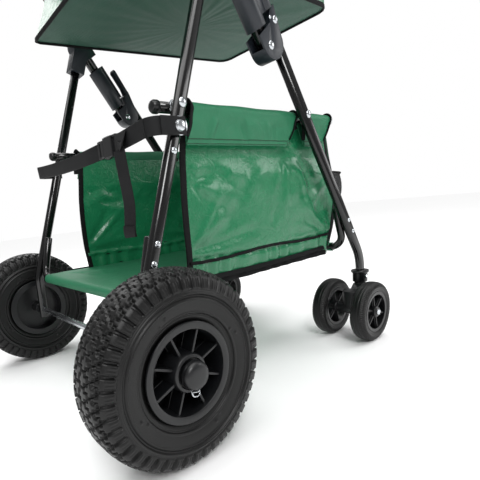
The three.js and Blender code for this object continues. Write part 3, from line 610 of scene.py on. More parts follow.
@dataclass
class MouldedParts:
    """The hinge plastics, pins, collars and forks, shown as the CAD has them with rounded edges."""

    palette: Palette

    def build(self) -> None:
        """All of them."""
        p = self.palette
        for side in Side:
            w = side.word
            for node, material, edge in (
                ("leg_knuckle", p.hinge, 2.2), ("hinge_bracket", p.hinge, 1.6), ("latch_sleeve", p.hinge, 1.4),
                ("hinge_pin", p.zinc, 0.5), ("rail_pin", p.zinc, 0.5), ("rail_rivet", p.zinc, 0.5),
                ("hoop_bolt", p.zinc, 0.5), ("strap_bolt", p.zinc, 0.5), ("caster_collar", p.plastic, 1.2),
                ("caster_fork", p.plastic, 1.6), ("caster_axle", p.zinc, 0.4), ("rail_cap", p.plastic, 1.0),
            ):
                dress(f"{node}_{w}", material, edge)
            self.collar_bolt(side)
        dress("rear_axle", p.zinc, 0.8)
        log.info("moulded parts")

    def collar_bolt(self, side: Side) -> None:
        """The clamp bolt across a caster's collar, with its hexagon head facing forward and out."""
        y = side.value * (LEG_Y + 17)
        a = np.linspace(0, 2 * math.pi, 6, endpoint=False)
        rings = []
        for r, depth in ((3.0, -2.0), (4.4, -2.0), (4.4, 1.6), (3.8, 2.4), (0.4, 2.4)):
            rings.append(np.stack([588 - 4 + r * np.cos(a), np.full(6, y + side.value * depth),
                                   133 + r * np.sin(a)], -1))
        verts = np.concatenate(rings)
        faces = grid_faces(len(rings), 6, close_cols=True) + [list(range(24, 30))]
        new_piece(f"collar_bolt_{side.word}", verts, faces, self.palette.zinc, "front_frame", smooth=False)


# ---------------------------------------------------------------- wheels


def groove(distance: np.ndarray, half_width: float, wall: float = 0.9) -> np.ndarray:
    """How deep a groove is, 0 to 1, at a distance from its middle line, with sloping walls."""
    return np.clip((half_width - np.abs(distance)) / wall + 0.5, 0, 1)


def saw(phase: np.ndarray) -> np.ndarray:
    """Signed distance, in turns, from the nearest whole number."""
    return phase - np.round(phase)


@dataclass
class RearWheel:
    """A rear wheel: block-tread tyre, spoked rim, hub, cap and lock clip.

    Attributes:
        palette: the finishes.
        side: the side of the cart.
        radius: the tyre's radius, in mm.
        width: the tyre's width.
        bead: the radius where tyre and rim meet.
        blocks: how many tread blocks go round.
        rows: how far from the crown's middle the stepped grooves run.
        shoulder: how far from it the shoulder's notches end.
        groove_depth: the depth of the grooves.
        spokes: how many ribs the rim has.
    """

    palette: Palette
    side: Side
    radius: float = 130
    width: float = 78
    bead: float = 62
    blocks: int = 46
    rows: tuple = (14, 28)
    shoulder: float = 52
    groove_depth: float = 4.6
    spokes: int = 8
    centre: tuple = field(init=False)

    def __post_init__(self) -> None:
        """Works out where the wheel is."""
        self.centre = (0, self.side.value * 292.0, 130.0)
        self.body = f"rear_wheel_{self.side.word}"

    def section(self) -> tuple[np.ndarray, np.ndarray, np.ndarray]:
        """The tyre's smooth section: length along it from the crown's middle, radius and width there."""
        up = [1, 0.995, 0.965, 0.89, 0.76, 0.56, 0.33, 0.14, 0.02]
        over = [0, 0.3, 0.6, 0.83, 0.96, 1.0, 0.95, 0.84, 0.72]
        half = [(self.bead + u * (self.radius - self.bead), o * self.width / 2) for u, o in zip(up, over)]
        line = smooth_line([(r, -y) for r, y in half[:0:-1]] + half, 1200)
        s = np.concatenate([[0], np.cumsum(np.linalg.norm(np.diff(line, axis=0), axis=1))])
        return s - s[-1] / 2, line[:, 0], line[:, 1]

    def turned(self, name: str, s: np.ndarray, count: int, inset: np.ndarray) -> bpy.types.Object:
        """A skin turned round the axle from part of the section, pressed in along its normal.

        Args:
            name: the piece's name.
            s: where the columns lie along the section.
            count: how many steps go round.
            inset: how far each point is pressed in, count x len(s).

        Returns:
            The new object.
        """
        s_all, r_all, y_all = self.section()
        r, y = np.interp(s, s_all, r_all), np.interp(s, s_all, y_all)
        normal = unit(np.stack([np.gradient(y, s), -np.gradient(r, s)], -1))
        rr = r[None, :] - inset * normal[:, 0]
        yy = y[None, :] - inset * normal[:, 1]
        ang = 2 * math.pi * (np.arange(count) / count)[:, None]
        verts = np.stack([rr * np.cos(ang), yy + 0 * ang, rr * np.sin(ang)], -1).reshape(-1, 3) + self.centre
        return new_piece(name, verts, grid_faces(count, len(s), close_rows=True), self.palette.tyre, self.body)

    def tread(self) -> None:
        """The tread: blocks that interlock like stairs, and a notched shoulder.

        With a the length from the crown's middle, stepped grooves run round at the middle and at each row. Each
        steps sideways twice per block. Straight grooves cross between them, half a block out of step.
        """
        count = self.blocks * 18
        s = np.linspace(-57, 57, 112)
        turn = (np.arange(count) / count * self.blocks)[:, None]
        a, way = np.abs(s)[None, :], np.sign(s)[None, :]
        phase = turn + 0.25 * (way > 0)
        pitch = 2 * math.pi * self.radius / self.blocks
        cross = lambda shift, wide: groove(saw(phase + shift) * pitch, wide)
        flip = lambda at: np.where(np.sin(2 * math.pi * at) > 0, 1.0, -1.0)

        def stairs(off: np.ndarray, at: np.ndarray, rise: float, wide: float) -> np.ndarray:
            """Depth of a groove that steps to either side of off = 0 by rise."""
            risers = groove(saw(at * 2) * pitch / 2, wide) * (np.abs(off) < rise + wide)
            return np.maximum(groove(off - rise * flip(at), wide), risers)

        near, far = self.rows
        inner = near + 2.8 * flip(phase)
        outer = far + 3.0 * flip(phase + 0.5)
        depth = stairs(a * way, turn, 1.8, 1.2)
        depth = np.maximum(depth, stairs(a - near, phase, 2.8, 1.5))
        depth = np.maximum(depth, stairs(a - far, phase + 0.5, 3.0, 1.7))
        depth = np.maximum(depth, cross(0.25, 1.1) * (a < inner) * (a > 3))
        depth = np.maximum(depth, cross(0.75, 1.2) * (a > inner) * (a < outer))
        depth = np.maximum(depth, cross(0.25, 2.2) * (a > outer) * (a < self.shoulder))
        sipe = groove(saw((phase + 0.25) * 4) * pitch / 4, 0.4, 0.6)
        depth = np.maximum(depth, 0.25 * sipe * (a > 40) * (a < 50))
        ring = 0.3 * groove(a - 54.0, 1.0) * np.ones_like(turn)
        inset = self.groove_depth * np.maximum(depth * (a < self.shoulder), ring)
        obj = self.turned(f"rear_tyre_{self.side.word}_tread", s, count, inset)
        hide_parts(f"rear_tyre_{self.side.word}")

    def sidewalls(self) -> None:
        """The sidewalls: moulded rings, small vent nubs in pairs, and the bead's lip."""
        end = self.section()[0][-1]
        count = 420
        turn = (np.arange(count) / count)[:, None]
        for way, word in ((1, "outer"), (-1, "inner")):
            a = np.linspace(56.6, end, 58)[None, :]
            inset = 2.0 * groove(a - 61.5, 1.6, 1.2) - 1.1 * groove(a - 58.2, 0.9) - 1.0 * groove(a - 65.5, 0.9)
            inset = inset - 0.9 * groove(a - end + 15, 1.2) + 1.4 * groove(a - end + 11.5, 1.2)
            for k, at in enumerate((0.06, 0.08, 0.31, 0.33, 0.56, 0.58, 0.81, 0.83)):
                off = (saw(turn - at) * 2 * math.pi * 96) ** 2 + (a - 74 - 5 * (k % 2)) ** 2
                inset = inset - 1.6 * np.exp(-off / 3.6)
            s = a[0] * way * self.side.value
            self.turned(f"rear_tyre_{self.side.word}_{word}_wall", s[:: int(np.sign(s[0]))], count,
                        (inset + 0 * turn)[:, :: int(np.sign(s[0]))])

    def rim(self) -> None:
        """The moulded rim: barrel with flanges, recessed web, ribs and hub."""
        out = self.side.value
        lip = 35.0
        barrel = [(53, -lip), (65, -lip), (66, -lip + 2), (64.5, -lip + 4), (61.8, -lip + 6), (61.8, lip - 6),
                  (64.5, lip - 4), (66, lip - 2), (65, lip), (60, lip + 0.8), (55.5, lip - 1), (54, lip - 7), (53, 8)]
        verts, faces = lathe([(r, out * y) for r, y in barrel], self.centre, 96)
        shell = new_piece(f"rear_rim_{self.side.word}_barrel", verts, faces, self.palette.plastic, self.body)
        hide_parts(f"rear_rim_{self.side.word}")
        bevel(shell, 0.6)
        web = [(6.3, -46), (12, -46), (12, -8), (54, -8), (54, -3), (27.5, -3), (26.5, 0), (25.5, 32), (24, 35),
               (20.2, 36.2), (19.8, 30), (6.3, 30)]
        verts, faces = lathe([(r, out * y) for r, y in web], self.centre, 72)
        hub = new_piece(f"rear_rim_{self.side.word}_hub", verts, faces, self.palette.plastic, self.body)
        bevel(hub, 0.7)
        items = []
        for i in range(self.spokes):
            turn = turn_y(2 * math.pi * (i + 0.5) / self.spokes)
            centre = turn @ np.array([40, out * 14, 0]) + self.centre
            items.append((centre, (15.5, 15.5, 1.7), turn))
            centre = turn @ np.array([40, out * 3, 0]) + self.centre
            items.append((centre, (15.5, 5, 2.6), turn))
        verts, faces = boxes(items)
        ribs = new_piece(f"rear_rim_{self.side.word}_ribs", verts, faces, self.palette.plastic, self.body)
        bevel(ribs, 1.0, 3)

    def cap(self) -> None:
        """The domed hub cap, with a shallow groove round its foot."""
        out = self.side.value
        profile = [(0.02, 38.3), (18.6, 38.3), (19, 39), (19, 42), (18.3, 42.6), (18.3, 43.4), (18.7, 44), (17.8, 47),
                   (15.6, 49.4), (12, 50.9), (7, 51.6), (0.02, 51.7)]
        verts, faces = lathe([(r, out * y) for r, y in profile], self.centre, 56)
        obj = new_piece(f"hub_cap_{self.side.word}_dome", verts, faces, self.palette.plastic, self.body)
        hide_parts(f"hub_cap_{self.side.word}")
        bevel(obj, 0.5)

    def clip(self) -> None:
        """The sprung wire clip that hangs round the hub and locks the wheel to its axle."""
        out = self.side.value
        x0, y0, z0 = self.centre
        y = y0 + out * 39.5
        knots = [(x0 - 5.5, y - out * 3, z0 - 17), (x0 - 5.8, y, z0 - 22), (x0 - 4.6, y + out * 1.5, z0 - 27),
                 (x0, y + out * 2, z0 - 28.4), (x0 + 4.6, y + out * 1.5, z0 - 27), (x0 + 5.8, y, z0 - 22),
                 (x0 + 5.5, y - out * 3, z0 - 17)]
        sweep(f"lock_clip_{self.side.word}_wire", smooth_line(knots, 60), circle(1.0, 12), self.palette.zinc,
              self.body, 0.5)
        knots = [(x0 + 5.8, y, z0 - 22), (x0 + 2, y + out * 2.5, z0 - 22.6), (x0 - 5.8, y, z0 - 22)]
        sweep(f"lock_clip_{self.side.word}_bar", smooth_line(knots, 20), circle(0.9, 12), self.palette.zinc,
              self.body, 0.5)

    def build(self) -> None:
        """The whole wheel."""
        self.tread()
        self.sidewalls()
        self.rim()
        self.cap()
        self.clip()
        log.info("rear wheel %s", self.side.word)


@dataclass
class CasterWheel:
    """One of a caster's twin wheels."""

    palette: Palette
    side: Side
    place: str
    way: int

    def build(self) -> None:
        """Tyre with ribbed shoulders, ring, spokes and hub."""
        w = self.side.word
        y0 = self.side.value * (LEG_Y + self.way * 45.5)
        centre = (545, y0, 65)
        body = f"caster_wheel_{w}_{self.place}"
        half = [(65, 0), (64.9, 4), (64.3, 8), (62.6, 12), (59.5, 15), (56, 16.2), (52, 16.2), (48, 15.2), (44.3, 13.6)]
        line = smooth_line([(r, -y) for r, y in half[:0:-1]] + half, 76)
        count = 90 * 6
        phi = np.arange(count) / count
        r, y = line[:, 0][None, :], line[:, 1][None, :]
        rib = groove(saw(phi[:, None] * 90) * 4.5, 0.9, 0.8)
        band = np.clip((np.abs(y) - 8.5) / 1.5, 0, 1) * np.clip((r - 54) / 2, 0, 1)
        inset = 1.1 * rib * band + 0.9 * groove(np.abs(y) - 4.0, 0.7) * (r > 60) + 0.6 * groove(r - 51, 0.8)
        rr = r - inset * (r > 56)
        yy = y - np.sign(y) * inset * np.where(r > 56, 0.5, 1.0)
        ang = 2 * math.pi * phi[:, None]
        verts = np.stack([rr * np.cos(ang), yy * np.ones_like(ang), rr * np.sin(ang)], -1).reshape(-1, 3) + centre
        tyre = new_piece(f"caster_tyre_{w}_{self.place}_tread", verts, grid_faces(count, 76, close_rows=True),
                         self.palette.tyre, body)
        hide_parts(f"caster_tyre_{w}_{self.place}")
        ring = [(37.5, -14), (44, -14.5), (44.6, -13), (43.9, -11), (43.9, 11), (44.6, 13), (44, 14.5), (37.5, 14),
                (39, 8), (39, -8)]
        verts, faces = lathe(ring, centre, 72)
        rim = new_piece(f"caster_rim_{w}_{self.place}_ring", verts, faces, self.palette.plastic, body)
        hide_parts(f"caster_rim_{w}_{self.place}")
        bevel(rim, 0.5)
        hub = [(4.4, -16.4), (9.5, -16.4), (12, -14), (12, 14), (9.5, 16.4), (4.4, 16.4)]
        verts, faces = lathe(hub, centre, 40)
        bevel(new_piece(f"caster_rim_{w}_{self.place}_hub", verts, faces, self.palette.plastic, body), 0.5)
        items = []
        for i in range(6):
            turn = turn_y(2 * math.pi * i / 6 + 0.3)
            items.append((turn @ np.array([25.5, 0, 0]) + centre, (14.5, 8.5, 3.0), turn))
            items.append((turn @ np.array([24.5, 0, 0]) + centre, (13.5, 11.5, 1.4), turn))
        verts, faces = boxes(items)
        bevel(new_piece(f"caster_rim_{w}_{self.place}_spokes", verts, faces, self.palette.plastic, body), 0.9, 3)


# ---------------------------------------------------------------- cloth


@dataclass
class Crease:
    """A crease that runs from a point in a direction and fades out.

    Attributes:
        start: where it starts, in the sheet's own two directions, in mm.
        angle: its direction, in degrees.
        length: how far it runs, in mm.
        width: its half width, in mm.
        height: its height, in mm.
    """

    start: tuple
    angle: float
    length: float
    width: float
    height: float

    def relief(self, u: np.ndarray, v: np.ndarray) -> np.ndarray:
        """Height at each point: a bell across the crease that swells and fades along it."""
        a = math.radians(self.angle)
        along = (u - self.start[0]) * math.cos(a) + (v - self.start[1]) * math.sin(a)
        off = -(u - self.start[0]) * math.sin(a) + (v - self.start[1]) * math.cos(a)
        off = off + 3.0 * np.sin(along / 31.0 + self.start[0])
        wide = self.width * (1.5 + 1.1 * np.clip(along / self.length, 0, 1))
        t = np.clip(along / self.length, 0, 1)
        fade = np.where((along > 0) & (along < self.length), np.sin(math.pi * t**0.6) ** 0.8, 0)
        return self.height * fade * np.exp(-((off / wide) ** 2))


def fans(corners: list, seed: int, each: int, height: float) -> list:
    """Creases that fan out from the corners. Each corner is (u, v, middle angle, spread)."""
    rng = np.random.default_rng(seed)
    made = []
    for u, v, angle, spread in corners:
        for k in range(each):
            lean = angle + spread * ((k + 0.5) / each - 0.5) + rng.uniform(-4, 4)
            made.append(Crease((u, v), lean, rng.uniform(90, 230), rng.uniform(3, 7.5),
                               height * rng.uniform(0.4, 1.0) * rng.choice([-1, 1])))
    return made


def scatter(width: float, length: float, seed: int, count: int, height: float) -> list:
    """Short creases all over a sheet."""
    rng = np.random.default_rng(seed)
    return [Crease((rng.uniform(0, width), rng.uniform(0, length)), rng.uniform(0, 360), rng.uniform(35, 120),
                   rng.uniform(2.5, 6), height * rng.uniform(-1, 1)) for _ in range(count)]


def relief_of(creases: list, u: np.ndarray, v: np.ndarray) -> np.ndarray:
    """All the creases' heights together."""
    return sum((c.relief(u, v) for c in creases), np.zeros_like(u))


def cloth_piece(name: str, points: np.ndarray, material: bpy.types.Material, body: str, thickness: float = 0.9,
                nodes: tuple = ()) -> bpy.types.Object:
    """A declared sheet over a grid of points, with threads along its rows and columns.

    Args:
        name: the piece's name.
        points: a rows x columns grid of points, in mm about the rear axle.
        material: its cloth.
        body: the body it rides, or "" for one left on no body.
        thickness: of the cloth, in mm.
        nodes: the CAD nodes it stands for.

    Returns:
        The new object.
    """
    rows, cols = points.shape[:2]
    step_u = np.linalg.norm(np.diff(points, axis=1), axis=2)
    step_v = np.linalg.norm(np.diff(points, axis=0), axis=2)
    u = np.concatenate([np.zeros((rows, 1)), np.cumsum(step_u, 1)], 1)
    v = np.concatenate([np.zeros((1, cols)), np.cumsum(step_v, 0)], 0)
    obj = new_piece(name, points.reshape(-1, 3), grid_faces(rows, cols), material, body)
    add_uv(obj, u * MM, v * MM)
    thicken(obj, thickness)
    if nodes:
        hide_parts(*nodes)
    return obj


def tape(name: str, path: np.ndarray, material: bpy.types.Material, body: str, width: float = 11,
         thickness: float = 2.6, side: np.ndarray | None = None) -> bpy.types.Object:
    """A folded binding tape along an edge. The side direction is the one it is thin in."""
    obj = sweep(name, path, flat_oval(thickness, width, 20), material, body, 0.6, side)
    n, m = len(obj.data.vertices) // 20, 20
    length = np.repeat(np.linspace(0, len(path) * 4 * MM, n), m)
    around = np.tile(np.linspace(0, 2 * width * MM, m), n)
    add_uv(obj, length, around)
    return obj


@dataclass
class Sling:
    """The cargo sling: side panels with rail sleeves, deck, front panel and pocket.

    Attributes:
        palette: the finishes.
        seam_z: the height of the seam low on each side panel, in mm.
        hem_z: the height of the lower hem.
        inner_y: how far out a panel's top lies, inside the rail, so that the rail slides past it.
        outer_y: the farthest out a panel bulges, inside the sleeve's lower edge.
    """

    palette: Palette
    seam_z: float = 240
    hem_z: float = 205
    inner_y: float = 194.4
    outer_y: float = 203.4

    def panel_top(self, x: np.ndarray) -> np.ndarray:
        """The height of a side panel's top edge: level, with a scoop where the front leg passes."""
        notch = np.exp(-(((x - 398) / 16) ** 4))
        return 460 - 3 * notch

    def rear_edge(self, z: np.ndarray) -> np.ndarray:
        """Where the rear edge is at height z."""
        t = np.clip((z - 205) / 260, 0, 1)
        return 120 + 16 * t**2 - 5 * np.sin(math.pi * t)

    def front_edge(self, z: np.ndarray) -> np.ndarray:
        """Where the front edge is at height z."""
        return np.interp(z, [196, 225, 308, 371, 466], [512, 518, 541, 530, 508])

    def side_panel(self, side: Side) -> None:
        """One side panel and its trim."""
        rows, cols = 150, 210
        t = np.linspace(0, 1, rows)[:, None]
        s = np.linspace(0, 1, cols)[None, :]
        guess = 128 + 380 * s + 0 * t
        z = self.hem_z - 8 + (self.panel_top(guess) - self.hem_z + 8) * (1 - t)
        x = self.rear_edge(z) + (self.front_edge(z) - self.rear_edge(z)) * s
        z = self.hem_z - 8 + (self.panel_top(x) - self.hem_z + 8) * (1 - t)
        u, v = x - 120, z - 200
        creases = fans([(270, 248, -60, 70), (270, 248, -130, 70), (0, 245, -40, 60), (0, 175, -10, 70),
                        (0, 60, 25, 60), (395, 40, 150, 60), (400, 170, 200, 50)], 5 + side.value, 4, 6)
        creases += [Crease((268, 236), -80, 150, 9, 8), Crease((290, 236), -62, 210, 7, -8),
                    Crease((20, 190), 38, 150, 8, 8), Crease((16, 160), 20, 130, 6, -7),
                    Crease((40, 215), -25, 190, 9, 6), Crease((150, 225), -150, 120, 6, 7),
                    Crease((190, 235), -125, 170, 8, -6)]
        creases += scatter(400, 240, 11 + side.value, 14, 1.6)
        edge = np.clip(np.minimum(s, 1 - s) * 14, 0, 1) * np.clip((self.panel_top(x) - z) / 40, 0, 1)
        edge = edge * np.clip(np.abs(z - self.seam_z) / 26, 0.2, 1)
        relief = relief_of(creases, u, v) * edge
        low = np.clip((self.seam_z - z) / 30, 0, 1)
        gather = np.clip((self.seam_z + 8 - z) / 16, 0, 1) * (1 - low * 0.4)
        gather = 2.6 * np.sin(x / 6.5 + 1.5 * np.sin(x / 27)) * gather
        belly = 7.0 * np.sin(math.pi * np.clip((z - 215) / 250, 0, 1)) * np.sin(math.pi * s)
        seam = -3.0 * np.exp(-(((z - self.seam_z - 3 * np.sin(x / 70)) / 5) ** 2))
        y = 197 + 5.6 * np.tanh(relief / 7.5) + belly * 0.25 + gather + seam + 1.0 * np.sin(u / 60 + v / 45)
        y = np.minimum(y, self.outer_y) - 3 * low * (z < self.seam_z)
        tuck = np.clip((z - 372) / 32, 0, 1)
        tuck = tuck * tuck * (3 - 2 * tuck)
        y = y + (self.inner_y - y) * tuck
        pts = np.stack(np.broadcast_arrays(x, side.value * y, z), -1)
        obj = cloth_piece(f"sling_side_{side.word}_cloth", pts, self.palette.green, "",
                          nodes=(f"sling_side_{side.word}",))
        self.tie(obj)
        self.panel_trim(side, x, y, z)

    def tie(self, obj: bpy.types.Object) -> None:
        """Bakes a cloth piece's placement into its mesh; it stays on no body."""
        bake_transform(obj)

    def panel_trim(self, side: Side, x: np.ndarray, y: np.ndarray, z: np.ndarray) -> None:
        """Binding down the rear and front edges and along the scoop and the seam, and the stitch lines."""
        out = np.array([0.0, side.value, 0.0])
        p = self.palette
        flip = np.array([1, side.value, 1])
        for name, line, width in (
            ("rear_binding", np.stack([x[:, 0], y[:, 0], z[:, 0]], -1), 12),
            ("front_binding", np.stack([x[:, -1], y[:, -1], z[:, -1]], -1), 12),
        ):
            obj = tape(f"{name}_{side.word}", smooth_line(line[::8] * flip, 60), p.binding, "", width, 3, out)
            self.tie(obj)
        row = int(np.argmin(np.abs(z[:, 100] - self.seam_z)))
        line = np.stack([x[row], y[row] + 2.5, z[row] + 2 * np.sin(x[row] / 40)], -1)
        self.tie(tape(f"seam_piping_{side.word}", smooth_line(line[::6] * flip, 90), p.binding, "", 5.5, 3.4, out))
        # A black band along the panel's foot: painted shade, a dark strip standing for the shadow under the deck's side
        # edge.
        line = np.stack([x[-1], y[-1] + 1.0, z[-1] + 3], -1)
        self.tie(tape(f"hem_band_{side.word}", smooth_line(line[::6] * flip, 90), p.binding, "", 11, 2.4, out))
        near = (x[0] > 376) & (x[0] < 422)
        line = np.stack([x[0], y[0], z[0]], -1)[near]
        self.tie(tape(f"scoop_binding_{side.word}", smooth_line(line[::3] * flip, 40), p.binding, "", 9, 3, out))
        self.sleeves(side)

    def sleeves(self, side: Side) -> None:
        """The tunnels of cloth that the side rail runs through, with bound ends."""
        p = self.palette
        y_rail = side.value * RAIL_Y
        for part, top, foot in (("rear", (138, 388), (126, 366)), ("front", (412, 500), (424, 480))):
            cols = max(int((top[1] - top[0]) / 2.4), 30)
            a = np.linspace(math.radians(-20), math.radians(180), 44)
            ring = np.stack([RAIL_Y + 9.9 * np.cos(a), RAIL_Z + 9.9 * np.sin(a)], -1)
            drop_in = np.linspace(0, 1, 16)[1:, None]
            inner = ring[-1] + (np.array([205.0, 424]) - ring[-1]) * drop_in
            outer = ring[0] + (np.array([207.2, 421]) - ring[0]) * drop_in
            line = np.concatenate([outer[::-1], ring, inner])
            t = np.clip((RAIL_Z + 6 - line[:, 1]) / 57, 0, 1)[:, None]
            share = np.linspace(0, 1, cols)[None, :]
            x0 = top[0] + (foot[0] - top[0]) * t**1.4
            x1 = top[1] + (foot[1] - top[1]) * t**1.4
            x = x0 + (x1 - x0) * share
            front = (np.arange(len(line)) < 40)[:, None]
            puff = 2.6 * np.sin(x / 21 + 2.2 * t) + 1.8 * np.sin(x / 9.5 - 3 * t + 1)
            puff = puff * np.sin(math.pi * np.clip(t, 0, 1))
            crease = relief_of([Crease((232, 480), -60, 80, 2.6, -13), Crease((248, 480), -46, 72, 2.4, 11),
                                Crease((330, 480), -78, 66, 2.4, -9), Crease((186, 480), -106, 66, 2.6, 9),
                                Crease((292, 480), -64, 64, 2.2, 8), Crease((452, 480), -98, 66, 2.4, -9)],
                               x, line[:, 1][:, None] + 0 * x)
            free = np.clip((465 - line[:, 1]) / 12, 0, 1)[:, None] * np.sin(math.pi * t)
            y = line[:, 0][:, None] + np.where(front, (4.0 * np.tanh((puff + crease) / 4.5) - 0.3) * free, 0)
            z = line[:, 1][:, None] + 0.5 * np.sin(x / 17) * (1 - t)
            pts = np.stack(np.broadcast_arrays(x, side.value * np.minimum(y, 218), z), -1)
            cloth_piece(f"rail_sleeve_{part}_{side.word}", pts, p.matt_green, f"rail_{side.word}")
            for end, column, wide in (("a", 0, 15 if part == "rear" else 7), ("b", -1, 8)):
                away = -1.5 if end == "a" else 1.5
                edge = pts[4:62, column] + (away, 0, 0)
                around = unit((edge - (0, y_rail, RAIL_Z)) * (0, 1, 1))
                tape(f"sleeve_binding_{part}_{end}_{side.word}", smooth_line(edge + around * 0.8, 70), p.binding,
                     f"rail_{side.word}", wide, 2.6, around[0])
            for row, lift in enumerate((2.5, 9.0)):
                seam = pts[row * 3][:: max(cols // 50, 1)] * (1, 1, 0) + (0, side.value * 0.9, pts[0, 0, 2] + lift)
                tape(f"sleeve_stitching_{part}_{row}_{side.word}", smooth_line(seam, 60), p.stitch,
                     f"rail_{side.word}", 1.4, 0.7, np.array([0.0, side.value, 0.0]))

    def deck(self) -> None:
        """The deck, stretched between the two bars, wrapped over each and sagging a little."""
        rows, cols = 130, 200
        wrap = 9.3
        a = np.linspace(math.radians(-150), math.radians(90), 26)
        rear = np.stack([12 + wrap * np.cos(math.pi - a), 205 + wrap * np.sin(a)], -1)
        front = np.stack([549 + wrap * np.cos(a[::-1]), 205 + wrap * np.sin(a[::-1])], -1)
        middle_x = np.linspace(14, 547, cols - 52)
        flat = 205 + wrap - 5.5 * np.sin(math.pi * (middle_x - 14) / 533)
        line = np.concatenate([rear, np.stack([middle_x, flat], -1), front])
        s = np.linspace(-1, 1, rows)[:, None]
        half = 186.0
        x = np.broadcast_to(line[:, 0][None, :], (rows, len(line)))
        z = np.broadcast_to(line[:, 1][None, :], (rows, len(line))).copy()
        inner = np.clip((x - 30) / 40, 0, 1) * np.clip((530 - x) / 40, 0, 1)
        y = s * (half + 13 * inner)
        creases = fans([(20, -180, 40, 70), (20, 180, -40, 70), (540, -180, 140, 70), (540, 180, -140, 70)], 31, 6, 3.5)
        creases += [Crease(c.start, c.angle, c.length, c.width, c.height) for c in scatter(540, 190, 33, 30, 2.0)]
        calm = inner * np.clip((1 - np.abs(s)) * 6, 0, 1)
        z += np.clip(relief_of(creases, x, y), -4, 3) * calm
        z -= 3.0 * (1 - s**2) * inner
        pts = np.stack([x, y, z], -1)
        obj = cloth_piece("deck_cloth", pts, self.palette.matt_green, "",
                          nodes=("sling_deck",))
        self.tie(obj)
        # Black bands along the deck's side edges: painted shade, dark strips standing for the shadow under the deck's
        # edge.
        for side in Side:
            line = np.stack([middle_x, np.full_like(middle_x, side.value * 199.0), flat - 1], -1)
            band = tape(f"deck_edge_{side.word}", smooth_line(line[12:-12:8], 80), self.palette.binding, "", 9, 2.6,
                        np.array([0, side.value, 0.5]))
            self.tie(band)

    def front_panel(self) -> None:
        """The panel across the sling's front, with its bound top edge and the net pocket."""
        rows, cols = 110, 150
        v = np.linspace(0, 1, rows)[:, None]
        s = np.linspace(-1, 1, cols)[None, :]
        z = 462 - 250 * v + 6 * (1 - s**2) * -1 * (1 - v)
        x = self.front_edge(z) + 1.5
        y = 196 * s
        creases = fans([(-190, 255, -40, 60), (190, 255, -140, 60), (-190, 15, 40, 60), (190, 15, 140, 60)], 41, 6, 4)
        creases += [Crease((c.start[0] - 190, c.start[1]), c.angle, c.length, c.width, c.height)
                    for c in scatter(380, 250, 43, 30, 2.4)]
        calm = np.clip((1 - np.abs(s)) * 8, 0, 1) * np.clip(np.minimum(v, 1 - v) * 9, 0, 1)
        x = x + np.clip(relief_of(creases, y + 0 * z, z - 212 + 0 * y), -5, 5) * calm
        x = x + 9 * (1 - s**2) * np.sin(math.pi * v)
        pts = np.stack(np.broadcast_arrays(x, y, z), -1)
        cloth_piece("front_cloth", pts, self.palette.green, "front_frame",
                    nodes=("sling_front",))
        top = pts[0, ::6]
        tape("front_top_binding", smooth_line(top, 80), self.palette.binding, "front_frame", 11, 3,
             np.array([1.0, 0, 0]))
        self.pocket()

    def pocket(self) -> None:
        """The net pocket on the front panel, bulging forward, with an elastic top edge."""
        rows, cols = 60, 110
        v = np.linspace(0, 1, rows)[:, None]
        s = np.linspace(-1, 1, cols)[None, :]
        bulge = np.clip((1 - np.abs(s)) * 8, 0, 1) ** 0.6 * (0.35 + 0.65 * np.sin(math.pi * (0.25 + 0.7 * v)))
        z = 372 - 84 * v - 10 * (1 - s**2) * (1 - v)
        x = 545 + 54 * bulge * (1 - 0.15 * np.sin(9 * s) ** 2 * (1 - v)) - 5 * v
        y = 190 * np.tanh(s * 2.2) / math.tanh(2.2) + 0 * v
        pts = np.stack(np.broadcast_arrays(x, y, z), -1)
        cloth_piece("pocket_net", pts, self.palette.net, "front_frame", 0.6,
                    ("front_pocket",))
        for name, line in (("pocket_top", pts[0]), ("pocket_base", pts[-1])):
            tape(name, smooth_line(line[::5], 80), self.palette.binding, "front_frame", 10, 2.6,
                 np.array([1.0, 0, 0.2]))

    def build(self) -> None:
        """The whole sling."""
        for side in Side:
            self.side_panel(side)
        self.deck()
        self.front_panel()
        log.info("sling")


